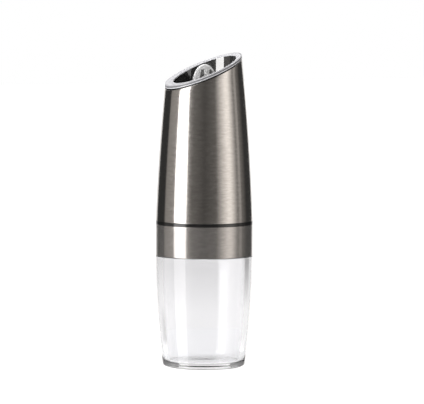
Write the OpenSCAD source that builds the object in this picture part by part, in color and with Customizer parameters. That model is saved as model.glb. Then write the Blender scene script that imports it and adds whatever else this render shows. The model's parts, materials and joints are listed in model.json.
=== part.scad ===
// Electric pepper mill that starts when it is turned over, standing on its jar with the mouth up.
// Millimetres, +Z up. The origin is the centre of the jar's underside, and the mouth's low side faces -Y.

/* [Outline] */
// Largest outer radius of the mill, at its collar
mill_r = 31; // [30:0.1:34]

/* [Jar] */
// Height of the jar from the table to its shoulder
jar_h = 70.7; // [60:0.1:90]
// How far the jar's shoulder lies inside the collar's face
jar_set_in = 0; // [0:0.1:0.6]
// Outer radius of the jar just above its rounded foot
jar_r_foot = 26.4; // [24:0.1:29]
// How far the jar's wall swells beyond a straight taper
jar_bulge = 1.1; // [0.2:0.1:2]
// Radius of the jar's rounded foot
jar_foot_round = 2.4; // [1:0.1:3]
// Thickness of the jar's side wall
jar_wall = 4; // [2.4:0.1:4.4]
// Thickness of the jar's floor
jar_floor = 3.6; // [2.5:0.1:5]
// Radius of the moulding dimple under the jar
jar_dimple_r = 1.6; // [0.8:0.1:3]
// Depth of the moulding dimple under the jar
jar_dimple_d = 0.5; // [0.2:0.1:0.9]
// Height of the threaded neck above the shoulder
neck_h = 11.5; // [10:0.1:12]
// Thickness of the neck's wall
neck_wall = 1.5; // [1.4:0.1:2.2]
// Thickness of the sealing ring on the neck
gasket_h = 1.5; // [1:0.1:2]
// Width of the sealing ring
gasket_w = 2.6; // [1.5:0.1:3]

/* [Jar thread] */
// Rise of the thread in one turn
thread_lead = 8; // [6:0.5:10]
// Number of thread starts
thread_starts = 2; // [1:1:2]
// Height of a thread ridge above its wall
thread_depth = 0.8; // [0.6:0.05:1]
// Width of a thread ridge at its root
thread_root_w = 1.5; // [1.2:0.1:1.6]
// Width of a thread ridge at its crest
thread_crest_w = 0.7; // [0.5:0.1:0.9]
// Turn covered by each ridge on the neck
neck_thread_sweep = 240; // [120:10:260]
// Turn covered by each ridge in the adapter ring
ring_thread_sweep = 200; // [120:10:220]

/* [Collar] */
// Height of the steel collar
collar_h = 20; // [18:0.1:26]
// Thickness of the steel of the collar
collar_wall = 0.6; // [0.4:0.1:1]
// Narrow dark gap between the jar's shoulder and the collar
shoulder_gap = 0.3; // [0.2:0.1:0.8]
// Thickness of the adapter ring's wall around its thread
adapter_wall = 1.3; // [1.2:0.05:2]
// Thickness of the adapter ring's inner plate
adapter_plate_t = 3; // [2:0.1:4]

/* [Outer shell] */
// Height of the shell from the black line to the top of the mouth
shell_h = 107; // [105:1:120]
// How far the shell's lower edge lies inside the collar's face
shell_set_in = 0; // [0:0.1:0.8]
// Outer radius of the shell at the top of the mouth
shell_r_high = 23.3; // [23:0.1:26]
// How far the shell swells beyond a straight taper
shell_bulge = 1; // [0.4:0.1:1.5]
// Thickness of the shell's steel
shell_wall = 0.7; // [0.4:0.1:1]
// Thickness of the plastic liner inside the shell
liner_wall = 1.2; // [0.8:0.1:1.6]
// Height of the black line between collar and shell
line_h = 2; // [1:0.1:3]
// How far the black line lies inside the shell's face
line_depth = 0; // [0:0.1:1.5]

/* [Mouth] */
// Slant of the mouth
mouth_angle = 22.9; // [16:0.1:26]
// Radius of the mouth's inner wall
mouth_r = 20; // [19.2:0.1:21]
// Thickness of the mouth's inner wall
mouth_wall = 1.2; // [0.8:0.1:1.6]
// Thickness of the slanted rim
rim_t = 2.4; // [1.6:0.1:3]
// How far the rim's face falls towards the mouth
rim_dish = 0.9; // [0.4:0.1:1.2]
// Dark gap between the rim and the shell's edge
rim_gap = 0.3; // [0.2:0.1:0.6]

/* [Cells] */
// Radius of one AAA cell
cell_r = 5.25; // [5:0.05:5.35]
// Length of one AAA cell with its nub
cell_l = 44.5; // [42:0.1:46]
// Radius of a cell's nub
nub_r = 1.9; // [1.5:0.1:2]
// Height of a cell's nub
nub_h = 0.8; // [0.6:0.1:1]
// Angle between neighbouring cells
cell_pitch = 33; // [32:0.5:35]
// Thickness of a contact strip
strip_t = 0.4; // [0.2:0.1:0.5]
// Height of a contact strip with its bump
contact_h = 1.1; // [0.9:0.1:1.4]
// Radius of the pad under each cell
pad_r = 3; // [2:0.1:4]
// Radius of the bump on each pad
bump_r = 1.5; // [1:0.1:1.8]
// Width of the strip between two pads
strip_w = 3; // [2:0.1:4]

/* [Chassis] */
// Thickness of the chassis base
base_t = 4; // [3.4:0.1:5]
// Thickness of the chassis top plate
plate_t = 4; // [3.2:0.1:5]
// Least wall between the motor bore and the feed channels
core_wall = 1.6; // [1.2:0.1:2.4]
// Half of the angle of each feed channel
channel_half = 33; // [24:1:33]
// Angle of the wall at each side of a feed channel
channel_side = 4; // [3:0.5:4]
// Thickness of the outer wall of a feed channel
channel_wall = 1.2; // [0.8:0.1:1.3]
// Depth by which each cell stands out of its cradle's half-round
cell_grip = 0.3; // [0:0.1:1]

/* [Motor] */
// Radius of the motor's can
motor_r = 12; // [10.5:0.1:12.6]
// Length of the motor's can
motor_l = 31; // [27:0.5:33]
// Thickness of the motor's can
can_wall = 1; // [0.6:0.1:1.4]
// Thickness of the motor's end cap
endcap_t = 2.4; // [2:0.1:3]
// Radius of the motor's front boss
motor_boss_r = 3; // [2.5:0.1:3.2]
// Radius of the motor's shaft
motor_shaft_r = 1; // [0.8:0.05:1.2]
// Radial thickness of the motor's magnets
magnet_t = 1.4; // [1:0.1:1.6]
// Magnetic air gap in the motor
air_gap = 0.4; // [0.3:0.05:0.6]
// Distance of the motor's screws from its shaft
motor_screw_x = 8; // [6.5:0.1:8.4]

/* [Gears] */
// Gear module
gear_module = 0.5; // [0.4:0.01:0.52]
// Teeth of each pinion
pinion_teeth = 10; // [10:1:13]
// Teeth of each large gear
wheel_teeth = 30; // [24:1:31]
// Pressure angle of the teeth
pressure_angle = 25; // [24:1:28]
// Face width of each gear
gear_face = 2; // [1.6:0.1:2.4]
// Space between gears one above the other
gear_gap = 0.6; // [0.4:0.1:0.8]
// Tooth thinning for free running
backlash = 0.08; // [0.05:0.01:0.12]
// Radius of the fixed gear pin
gear_pin_r = 1; // [0.8:0.05:1.2]
// Wall thickness of the gearbox cover
gearbox_wall = 1.2; // [1:0.1:1.4]
// Thickness of the gearbox cover's top
gearbox_top_t = 1.8; // [1.4:0.1:2.4]

/* [Grinder] */
// Radius of the spindle
spindle_r = 3; // [2.6:0.1:3.3]
// Width across the spindle's two flats
spindle_flats = 4.4; // [4:0.1:4.8]
// Radius of the threaded end of the spindle
stud_r = 2; // [1.6:0.1:2.1]
// Length of the threaded end of the spindle
stud_l = 7; // [5:0.5:9]
// Radius of the spindle's tail, on which the second gear runs
tail_r = 1.2; // [1:0.05:1.3]
// Wall of the spindle's bronze bush
bush_wall = 1.15; // [0.8:0.05:1.4]
// Length of the spindle's bronze bush
bush_l = 3.8; // [3:0.1:3.9]
// Clear height for corns above the gearbox
feed_gap = 4; // [3.6:0.1:7]
// Wall of the grinder housing
housing_wall = 1.2; // [1:0.1:1.5]
// Thickness of the housing's lid and of the plate with the throat
lid_t = 2; // [1.6:0.1:2.6]
// Thickness of the burr holder's flange
flange_t = 2.7; // [2.4:0.1:3.4]
// Radius of the feed throat
throat_r = 9; // [8:0.1:9.5]
// Outer radius of the ceramic burr ring
ring_r = 15; // [14:0.1:15.4]
// Height of the ceramic burr ring
ring_h = 10.5; // [9:0.1:11.5]
// Gap between ring and cone where they grind, at rest
grind_gap = 0.7; // [0.6:0.05:1]
// How far the knob moves the cone each way
grind_travel = 0.7; // [0.3:0.05:0.7]
// Radius of the ring's toothed bore at its bottom
ring_bore_low = 9.4; // [9:0.1:10]
// Height of the burr cone
cone_h = 11; // [10:0.1:12]
// Radius of the burr cone at its top
cone_r_top = 13; // [12:0.1:13.4]
// Radius of the burr cone at its bottom
cone_r_low = 6.4; // [6:0.1:7]
// Teeth around the burr ring
ring_teeth = 20; // [12:1:24]
// Teeth around the burr cone
cone_teeth = 12; // [8:1:14]
// Wire of the burr spring
spring_wire = 0.7; // [0.5:0.05:0.8]
// Radius of the burr spring at the middle of its wire
spring_r = 4.2; // [4:0.1:4.8]
// Turns of the burr spring
spring_turns = 3.5; // [2.5:0.5:3.5]
// Wall of the burr holder around the ring
holder_wall = 1.3; // [1:0.1:1.6]
// Thickness of the deck around the burr
deck_t = 3.4; // [2.5:0.1:4]
// How far the deck lies under the top of the burr ring
deck_drop = 2; // [1:0.1:3]

/* [Knob] */
// Radius of the knob's round base
knob_r = 9.6; // [8:0.1:11]
// Height of the knob's round base
knob_base_h = 3.2; // [2.6:0.1:4]
// Half the width of the knob's grip
grip_half_w = 7.5; // [6:0.1:8.5]
// Height of the knob's grip above its base
grip_h = 11.3; // [10:0.1:14]
// Thickness of the knob's grip
grip_t = 5; // [4.6:0.1:6]
// Depth of the finger grooves in the grip
groove_d = 1; // [0.5:0.1:1.3]
// Direction of the grip at rest, as an angle from +X
grip_angle = 65; // [0:5:180]

/* [Switch and light] */
// Thickness of the control board
board_t = 1.2; // [0.8:0.1:1.6]
// Outer radius of the tilt switch
tilt_r = 3; // [2.6:0.1:3.4]
// Wall of the tilt switch
tilt_wall = 0.6; // [0.4:0.1:0.7]
// Height of the tilt switch
tilt_h = 9.6; // [8:0.1:10]
// Radius of the light's bulb
led_r = 1.5; // [1.2:0.05:1.6]
// Wall of the holder outside the light
led_wall = 0.6; // [0.4:0.1:0.8]
// Radius of a wire with its insulation
wire_r = 0.5; // [0.4:0.05:0.6]

/* [Screws] */
// Radius of a screw's thread
screw_r = 1.25; // [1:0.05:1.4]
// Radius of a screw's head
screw_head_r = 2.1; // [1.8:0.05:2.2]
// Height of a screw's head
screw_head_h = 1.5; // [1.2:0.1:1.6]
// Radius of a small screw's thread
small_screw_r = 0.9; // [0.8:0.05:0.95]
// Radius of a small screw's head
small_head_r = 1.8; // [1.5:0.05:1.9]
// Height of a small screw's head
small_head_h = 1.1; // [0.8:0.1:1.2]

/* [Clearances] */
// Radial play of a shaft in its bearing
run_play = 0.05; // [0.03:0.01:0.08]
// Play of a piece fitted into another
fit_play = 0.05; // [0.02:0.01:0.1]
// Room between the lift-off cover and what it covers
cover_play = 0.4; // [0.3:0.05:0.5]
// Room between the threads of jar and adapter ring
thread_play = 0.4; // [0.35:0.05:0.45]
// Play of a cell in its cradle
cell_play = 0.2; // [0.1:0.05:0.3]
// Play of the ball in the tilt switch
ball_play = 0.4; // [0.2:0.05:0.6]
// Small gap between faces that move past each other
slide_gap = 0.2; // [0.1:0.05:0.3]

/* [Hidden] */
$fn = 64;

// Colours of the pieces
steel_colour = "silver";
chrome_colour = "gainsboro";
black_colour = "#222222";
clear_colour = [0.88, 0.92, 0.94, 0.4];
seal_colour = "whitesmoke";
white_colour = "white";
ceramic_colour = "ivory";
brass_colour = "goldenrod";
nylon_colour = "antiquewhite";
copper_colour = "peru";
cell_colour = "darkslategray";
board_colour = "seagreen";
knob_colour = [0.8, 0.8, 0.8, 0.85];

// Reach of the tools that only cut, past the face that they cut
past = 1;
// Side of the blocks that cut along the slanted mouth
wide = 200;
// Straight facets along each swelling wall
wall_steps = 10;
// Facets around the jar's foot
foot_steps = 6;

// Outer radii that follow from the mill's largest one
collar_r = mill_r;
jar_r_top = mill_r - jar_set_in;
shell_r_low = mill_r - shell_set_in;
adapter_r = collar_r - collar_wall - fit_play;
adapter_bore_r = adapter_r - adapter_wall;
neck_r = adapter_bore_r - thread_play - thread_depth;
neck_in_r = neck_r - neck_wall;

// Heights, from the table up
z_collar = jar_h + shoulder_gap;
z_neck_top = jar_h + neck_h;
z_gasket = z_neck_top + slide_gap;
z_web = z_gasket + gasket_h + slide_gap;
z_base = z_collar + collar_h;
z_shell = z_base + line_h;
z_top = z_shell + shell_h;
z_base_top = z_base + base_t;
z_cell = z_base_top + contact_h;
z_cell_top = z_cell + cell_l;
z_plate = z_cell_top + contact_h;
z_plate_top = z_plate + plate_t;
gear_step = gear_face + gear_gap;
gear_lift = 0.5;
z_gear = [for (level = [0:3]) z_plate_top + gear_lift + level * gear_step];
z_gearbox = z_gear[3] + gear_face + gear_lift;
z_gearbox_top = z_gearbox + gearbox_top_t;
z_flange = z_gearbox_top + feed_gap;
z_flange_top = z_flange + flange_t;
seat_step = 0.8;
z_seat = z_flange_top + seat_step;
z_ring_top = z_seat + ring_h;
z_deck_top = z_ring_top - deck_drop;
cone_lift = 1;
z_cone = z_seat + cone_lift;
z_cone_top = z_cone + cone_h;
z_knob = z_cone_top + slide_gap;
z_knob_base_top = z_knob + knob_base_h;
liner_over = 2.2;
z_liner_top = z_flange_top + liner_over;
liner_ledge_t = 1.7;

// Outlines of the two swelling walls
function swell(t) = 4 * t * (1 - t);
function shell_t(z) = (z - z_shell) / shell_h;
function shell_r(z) = shell_r_low + (shell_r_high - shell_r_low) * shell_t(z) + shell_bulge * swell(shell_t(z));
function jar_t(z) = (z - jar_foot_round) / (jar_h - jar_foot_round);
function jar_r(z) = jar_r_foot + (jar_r_top - jar_r_foot) * jar_t(z) + jar_bulge * swell(jar_t(z));
function shell_line(inset, z0, z1) =
    [for (i = [0:wall_steps]) let (z = z0 + (z1 - z0) * i / wall_steps) [shell_r(z) - inset, z]];
function jar_line(inset, z0, z1) =
    [for (i = [0:wall_steps]) let (z = z0 + (z1 - z0) * i / wall_steps) [jar_r(z) - inset, z]];
function turned(points) = [for (i = [len(points) - 1:-1:0]) points[i]];
liner_inset = shell_wall + fit_play;
function liner_in_r(z) = shell_r(z) - liner_inset - liner_wall;

// Radii that follow from the shell, the motor and the cells
motor_bore_r = motor_r + fit_play;
channel_in_r = motor_bore_r + core_wall;
spigot_r = liner_in_r(z_base_top) - cover_play;
plate_r = liner_in_r(z_plate_top) - cover_play;
housing_r = liner_in_r(z_flange) - cover_play;
housing_in_r = housing_r - housing_wall;
holder_flange_r = liner_in_r(z_flange_top) - cover_play;
channel_out_r = housing_in_r;
cell_pocket_r = cell_r + cell_play;
cell_ring_r = liner_in_r(z_cell_top) - cover_play - cell_play - cell_r;
core_r = cell_ring_r - cell_grip;
line_r = shell_r_low - line_depth;
gasket_over = 0.6;
gasket_out_r = neck_r + gasket_over;
web_w = 3;
adapter_pocket_r = neck_in_r - web_w;
bank_cells = 3;
cell_angles = [
    for (bank = [0, 180]) for (i = [0:bank_cells - 1]) bank + (i - (bank_cells - 1) / 2) * cell_pitch
];

// Mouth plane, through the top of the shell's high side
mouth_z = z_top - shell_r_high * tan(mouth_angle);
rim_land = 0.4;
dish_r = shell_r(mouth_z) - rim_land;

// Places of the screws
base_screw_r = (channel_in_r + core_r) / 2;
base_screw_angles = [30, 150, 210, 330];
pillar_r = 2.6;
pillar_ring_r = housing_in_r - pillar_r + 0.2;
pillar_angles = [30, 150, 210, 330];
screw_end = 0.6;

// Gear sizes
addendum = 0.8 * gear_module;
dedendum = 1.05 * gear_module;
gear_distance = gear_module * (pinion_teeth + wheel_teeth) / 2;
wheel_tip_r = gear_module * wheel_teeth / 2 + addendum;
box_r_motor = motor_screw_x + small_head_r + 0.4;
box_r_pin = wheel_tip_r + 0.5;
tab_r = small_head_r + 0.8;
tab_t = 2;
tab_out = gearbox_wall + small_head_r + slide_gap;
tab_angle = 80;
tab_places = [
    [-(box_r_motor + tab_out), 0],
    [gear_distance + (box_r_pin + tab_out) * cos(tab_angle), (box_r_pin + tab_out) * sin(tab_angle)],
    [gear_distance + (box_r_pin + tab_out) * cos(tab_angle), -(box_r_pin + tab_out) * sin(tab_angle)]
];

// Half a slice of pie between two radii, from one height to another
module sector(r_in, r_out, middle, half, z0, z1) {
    translate([0, 0, z0])
        rotate([0, 0, middle - half])
            rotate_extrude(angle = 2 * half)
                translate([r_in, 0])
                    square([r_out - r_in, z1 - z0]);
}

module tube(r_out, r_in, z0, z1) {
    translate([0, 0, z0])
        difference() {
            cylinder(r = r_out, h = z1 - z0);
            translate([0, 0, -past]) cylinder(r = r_in, h = z1 - z0 + 2 * past);
        }
}

module drill(r, z0, z1) {
    translate([0, 0, z0]) cylinder(r = r, h = z1 - z0);
}

// Everything under the mouth plane moved down by drop, as deep as depth
module under_mouth(drop, depth) {
    translate([0, 0, mouth_z])
        rotate([mouth_angle, 0, 0])
            translate([-wide / 2, -wide / 2, -drop - depth])
                cube([wide, wide, depth]);
}

// Shallow cone that cuts the rim's face, square to the mouth plane
module mouth_dish() {
    run = (dish_r - mouth_r) / rim_dish;
    translate([0, 0, mouth_z])
        rotate([mouth_angle, 0, 0])
            translate([0, 0, -rim_dish - past])
                cylinder(r1 = mouth_r - past * run, r2 = dish_r + past * run, h = rim_dish + 2 * past);
}

module screw(head_r, head_h, thread_r, z_head, z_tip) {
    drill(head_r, z_head, z_head + head_h);
    drill(thread_r, z_tip, z_head + head_h / 2);
}

module screw_hung(head_r, head_h, thread_r, z_head, z_tip) {
    drill(head_r, z_head - head_h, z_head);
    drill(thread_r, z_head - head_h / 2, z_tip);
}

// A thread ridge: a tapered bar swept along a helix, fading out at both ends
thread_step = 10;
thread_fade = 0.1;
function ridge_fade(u) = max(0.05, min(1, min(u, 1 - u) / thread_fade));
function ridge_ring(r_root, r_crest, angle, z, fade) =
    let (side = sign(r_crest - r_root), tip = r_root + (r_crest - r_root) * fade)
    [
        for (p = [
            [r_root, -side * thread_root_w / 2], [tip, -side * thread_crest_w / 2],
            [tip, side * thread_crest_w / 2], [r_root, side * thread_root_w / 2]
        ])
            [p[0] * cos(angle), p[0] * sin(angle), z + p[1]]
    ];

// Points and faces of a tube of rings, each ring of the same number of corners
function tube_faces(rings, sides) = concat(
    [for (i = [0:rings - 2]) for (j = [0:sides - 1]) let (k = (j + 1) % sides)
        [i * sides + j, i * sides + k, (i + 1) * sides + k]],
    [for (i = [0:rings - 2]) for (j = [0:sides - 1]) let (k = (j + 1) % sides)
        [i * sides + j, (i + 1) * sides + k, (i + 1) * sides + j]],
    [for (j = [1:sides - 2]) [0, j + 1, j]],
    [for (j = [1:sides - 2]) let (last = (rings - 1) * sides) [last, last + j, last + j + 1]]
);

module thread_ridge(r_root, r_crest, start, sweep, z0) {
    steps = ceil(sweep / thread_step);
    points = [
        for (i = [0:steps])
            let (angle = start + sweep * i / steps, z = z0 + thread_lead * sweep * i / steps / 360)
            each ridge_ring(r_root, r_crest, angle, z, ridge_fade(i / steps))
    ];
    polyhedron(points, tube_faces(steps + 1, 4));
}

module threads(r_root, r_crest, start, sweep, z0) {
    for (i = [0:thread_starts - 1]) {
        thread_ridge(r_root, r_crest, start + 360 * i / thread_starts, sweep, z0);
    }
}

// Depth by which a ridge is rooted in its wall
thread_rooted = 0.5;
thread_pitch = thread_lead / thread_starts;
z_neck_thread = jar_h + 2.2;
z_ring_thread = z_neck_thread + thread_pitch / 2;

// Involute gear outline
function roll(r, base_r) = r <= base_r ? 0 : let (a = acos(base_r / r)) tan(a) * 180 / PI - a;
function half_tooth(r, teeth) =
    let (pitch_r = gear_module * teeth / 2, base_r = pitch_r * cos(pressure_angle))
    90 / teeth - backlash / 2 / pitch_r * 180 / PI + roll(pitch_r, base_r) - roll(r, base_r);
function flank_radii(teeth) =
    let (
        pitch_r = gear_module * teeth / 2,
        base_r = pitch_r * cos(pressure_angle),
        root_r = pitch_r - dedendum,
        tip_r = pitch_r + addendum
    )
    base_r > root_r ? [root_r, base_r, pitch_r, tip_r] : [root_r, pitch_r, tip_r];
function on_circle(r, angle) = [r * cos(angle), r * sin(angle)];
function gear_outline(teeth) = [
    for (i = [0:teeth - 1])
        let (middle = 360 * i / teeth, radii = flank_radii(teeth))
        each concat(
            [for (r = radii) on_circle(r, middle - half_tooth(r, teeth))],
            [for (r = turned(radii)) on_circle(r, middle + half_tooth(r, teeth))]
        )
];

module toothed_disc(teeth, turn, z) {
    translate([0, 0, z])
        rotate([0, 0, turn])
            linear_extrude(gear_face)
                polygon(gear_outline(teeth));
}

// A large gear with a pinion above it, on one hub; a gap of the one and a tooth of the other point at facing
module double_gear(level, bore_r, facing) {
    difference() {
        union() {
            toothed_disc(wheel_teeth, facing + 180 / wheel_teeth, z_gear[level]);
            toothed_disc(pinion_teeth, facing, z_gear[level + 1]);
            drill(gear_module * pinion_teeth / 2 - dedendum, z_gear[level], z_gear[level + 1]);
        }
        drill(bore_r, z_gear[level] - past, z_gear[level + 1] + gear_face + past);
    }
}

// Jar and its seal

// The jar's wall thickens evenly from its floor to the neck
z_jar_wall = jar_floor + jar_foot_round;
z_jar_wall_top = jar_h - 2;
jar_wall_more = jar_r(z_jar_wall_top) - neck_in_r - jar_wall;
function jar_in_r(z) = jar_r(z) - jar_wall - jar_wall_more * (z - z_jar_wall) / (z_jar_wall_top - z_jar_wall);
function jar_in_line() =
    [
        for (i = [wall_steps:-1:0])
            let (z = z_jar_wall + (z_jar_wall_top - z_jar_wall) * i / wall_steps)
            [jar_in_r(z), z]
    ];

function jar_outline() = concat(
    [[0, 0], [jar_r_foot - jar_foot_round, 0]],
    [
        for (i = [1:foot_steps - 1])
            let (a = -90 + 90 * i / foot_steps)
            [
                jar_r_foot - jar_foot_round + jar_foot_round * cos(a),
                jar_foot_round + jar_foot_round * sin(a)
            ]
    ],
    jar_line(0, jar_foot_round, jar_h),
    [[neck_r, jar_h], [neck_r, z_neck_top], [neck_in_r, z_neck_top]],
    jar_in_line(),
    [[jar_r(jar_floor) - jar_wall - jar_foot_round / 2, jar_floor], [0, jar_floor]]
);

module jar() {
    color(clear_colour) {
        difference() {
            rotate_extrude($fn = 96) polygon(jar_outline());
            drill(jar_dimple_r, -past, jar_dimple_d);
        }
        threads(neck_r - thread_rooted, neck_r + thread_depth, 0, neck_thread_sweep, z_neck_thread);
    }
}

module jar_gasket() {
    color(seal_colour) tube(gasket_out_r, gasket_out_r - gasket_w, z_gasket, z_gasket + gasket_h);
}

// Collar and what it hides

module collar_sleeve() {
    color(steel_colour) tube(collar_r, collar_r - collar_wall, z_collar, z_base);
}

module feed_ports(z0, z1) {
    for (middle = [90, 270]) {
        sector(channel_in_r, channel_out_r, middle, channel_half, z0, z1);
    }
}

module at_base_screws() {
    for (angle = base_screw_angles) {
        rotate([0, 0, angle]) translate([base_screw_r, 0, 0]) children();
    }
}

module adapter_ring() {
    color(white_colour) {
        difference() {
            drill(adapter_r, z_collar, z_base);
            drill(adapter_bore_r, z_collar - past, z_web);
            drill(adapter_pocket_r, z_collar - past, z_base - adapter_plate_t);
            feed_ports(z_web - past, z_base + past);
            at_base_screws() drill(screw_r + fit_play, z_web, z_base + past);
        }
        threads(
            adapter_bore_r + thread_rooted, adapter_bore_r - thread_depth, 0, ring_thread_sweep, z_ring_thread
        );
    }
}

module base_screws() {
    color(steel_colour)
        at_base_screws()
            screw_hung(screw_head_r, screw_head_h, screw_r, z_base - adapter_plate_t, z_base_top - screw_end);
}

// Chassis

module at_cells() {
    for (angle = cell_angles) {
        rotate([0, 0, angle]) translate([cell_ring_r, 0, 0]) children();
    }
}

module at_pillars() {
    for (angle = pillar_angles) {
        rotate([0, 0, angle]) translate([pillar_ring_r, 0, 0]) children();
    }
}

module at_motor_screws() {
    for (side = [-1, 1]) {
        translate([0, side * motor_screw_x, 0]) children();
    }
}

module at_tabs() {
    for (place = tab_places) {
        translate([place[0], place[1], 0]) children();
    }
}

// Core with the cells' cradles, cut before base and plate close them
module cradle_core() {
    difference() {
        drill(core_r, z_base, z_plate_top);
        at_cells() drill(cell_pocket_r, z_base_top - past, z_plate + past);
    }
}

module chassis() {
    color(black_colour)
        difference() {
            union() {
                drill(line_r, z_base, z_shell);
                drill(spigot_r, z_base, z_base_top);
                drill(plate_r, z_plate, z_plate_top);
                cradle_core();
                for (middle = [90, 270]) {
                    sector(
                        channel_in_r, channel_out_r + channel_wall, middle, channel_half + channel_side,
                        z_base, z_plate_top
                    );
                }
            }
            feed_ports(z_base - past, z_plate_top + past);
            drill(motor_bore_r, z_base - past, z_plate);
            drill(motor_boss_r + fit_play, z_base, z_plate_top + past);
            at_base_screws() drill(screw_r + fit_play, z_base - past, z_base_top - screw_end);
            at_pillars() drill(screw_r + fit_play, z_plate + screw_end, z_plate_top + past);
            at_motor_screws() drill(small_screw_r + fit_play, z_plate - past, z_plate_top + past);
            at_tabs() drill(small_screw_r + fit_play, z_plate + screw_end, z_plate_top + past);
            translate([gear_distance, 0, 0])
                drill(gear_pin_r + fit_play, z_plate + screw_end, z_plate_top + past);
            at_led_leads() drill(wire_r + fit_play, z_plate - past, z_plate_top + past);
        }
}

// Lift-off cover

module shell() {
    color(steel_colour)
        intersection() {
            rotate_extrude($fn = 96)
                polygon(concat(shell_line(0, z_shell, z_top), turned(shell_line(shell_wall, z_shell, z_top))));
            under_mouth(rim_t + rim_gap, wide);
        }
}

module shell_liner() {
    color(black_colour) {
        rotate_extrude($fn = 96)
            polygon(concat(
                shell_line(liner_inset, z_shell, z_liner_top),
                [[mouth_r, z_liner_top], [mouth_r, z_liner_top - liner_ledge_t]],
                turned(shell_line(liner_inset + liner_wall, z_shell, z_liner_top - liner_ledge_t))
            ));
    }
}

module bezel() {
    color(chrome_colour)
        difference() {
            union() {
                intersection() {
                    rotate_extrude($fn = 96)
                        polygon(concat(
                            [[0, z_flange]], shell_line(0, z_flange, z_top + past), [[0, z_top + past]]
                        ));
                    under_mouth(0, rim_t);
                }
                intersection() {
                    drill(mouth_r + mouth_wall, z_liner_top, z_top);
                    under_mouth(rim_t / 2, wide);
                }
            }
            drill(mouth_r, z_flange, z_top + 2 * past);
            mouth_dish();
        }
}

// Cells and contacts

module battery_cells() {
    color(cell_colour)
        for (i = [0:len(cell_angles) - 1]) {
            up = i % 2 == 0;
            rotate([0, 0, cell_angles[i]])
                translate([cell_ring_r, 0, 0]) {
                    drill(cell_r, z_cell + (up ? 0 : nub_h), z_cell_top - (up ? nub_h : 0));
                    drill(nub_r, z_cell + (up ? nub_h : 0), z_cell_top - (up ? 0 : nub_h));
                }
        }
}

// One strip over the cells from the first to the last number, lying on z0 or hanging under it
module contact_strip(first, last, z0, way) {
    z_strip = z0 + min(0, way) * strip_t;
    z_bump = z0 + (way > 0 ? strip_t / 2 : -contact_h + slide_gap / 2);
    bump_h = contact_h - slide_gap / 2 - strip_t / 2;
    for (i = [first:last]) {
        rotate([0, 0, cell_angles[i]])
            translate([cell_ring_r, 0, 0]) {
                drill(pad_r, z_strip, z_strip + strip_t);
                drill(bump_r, z_bump, z_bump + bump_h);
            }
    }
    if (last > first) {
        sector(
            cell_ring_r, cell_ring_r + strip_w,
            (cell_angles[first] + cell_angles[last]) / 2, (cell_angles[last] - cell_angles[first]) / 2,
            z_strip, z_strip + strip_t
        );
    }
}

module lower_contacts() {
    color(brass_colour) {
        contact_strip(0, 1, z_base_top, 1);
        contact_strip(2, 2, z_base_top, 1);
        contact_strip(3, 3, z_base_top, 1);
        contact_strip(4, 5, z_base_top, 1);
    }
}

module upper_contacts() {
    color(brass_colour) {
        contact_strip(0, 0, z_plate, -1);
        contact_strip(1, 2, z_plate, -1);
        contact_strip(3, 4, z_plate, -1);
        contact_strip(5, 5, z_plate, -1);
    }
}

// Control board and tilt switch

board_r = motor_bore_r - slide_gap;
z_board = z_base + slide_gap;
z_board_top = z_board + board_t;
chip_size = [5, 4, 1.4];
chip_place = board_r * [-0.42, -0.67];
capacitor_r = 1.8;
capacitor_h = 4;
capacitor_place = board_r * [0.25, -0.46];
tilt_y = 5;
ball_r = tilt_r - tilt_wall - ball_play;
ball_rest = 0.02;
z_tilt_floor = z_board_top + tilt_wall;

module control_board() {
    color(board_colour) {
        drill(board_r, z_board, z_board_top);
        translate([chip_place[0], chip_place[1], z_board_top - fit_play]) cube(chip_size);
        translate([capacitor_place[0], capacitor_place[1], 0])
            drill(capacitor_r, z_board_top - fit_play, z_board_top + capacitor_h);
    }
}

module tilt_switch() {
    color(steel_colour)
        translate([0, tilt_y, 0])
            difference() {
                drill(tilt_r, z_board_top, z_board_top + tilt_h);
                drill(tilt_r - tilt_wall, z_tilt_floor, z_board_top + tilt_h - tilt_wall);
            }
}

module tilt_ball() {
    color(brass_colour) translate([0, tilt_y, z_tilt_floor + ball_r + ball_rest]) sphere(r = ball_r);
}

// Motor

z_motor_front = z_plate - fit_play;
z_motor_back = z_motor_front - motor_l;
can_in_r = motor_r - can_wall;
magnet_in_r = can_in_r - fit_play - magnet_t;
armature_r = magnet_in_r - air_gap;
magnet_margin = 3.4;
magnet_half = 60;
core_slot_w = 1.2;
shaft_foot = 0.8;
lead_x = 6;

module motor_can() {
    color(steel_colour)
        difference() {
            union() {
                drill(motor_r, z_motor_back, z_motor_front);
                drill(motor_boss_r, z_motor_back, z_motor_front + plate_t / 2);
            }
            drill(can_in_r, z_motor_back - past, z_motor_front - can_wall);
            drill(motor_shaft_r + run_play, z_motor_back, z_plate_top);
            at_motor_screws() drill(small_screw_r + fit_play, z_motor_back, z_plate);
        }
}

module motor_endcap() {
    color(nylon_colour)
        difference() {
            union() {
                drill(motor_r, z_motor_back - endcap_t, z_motor_back);
                drill(can_in_r - fit_play, z_motor_back - endcap_t, z_motor_back + can_wall);
            }
            drill(
                motor_shaft_r + run_play,
                z_motor_back - endcap_t + shaft_foot, z_motor_back + can_wall + past
            );
        }
}

module motor_magnets() {
    color("dimgray")
        for (middle = [0, 180]) {
            sector(
                magnet_in_r, can_in_r - fit_play, middle, magnet_half,
                z_motor_back + magnet_margin, z_motor_front - can_wall - magnet_margin
            );
        }
}

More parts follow.
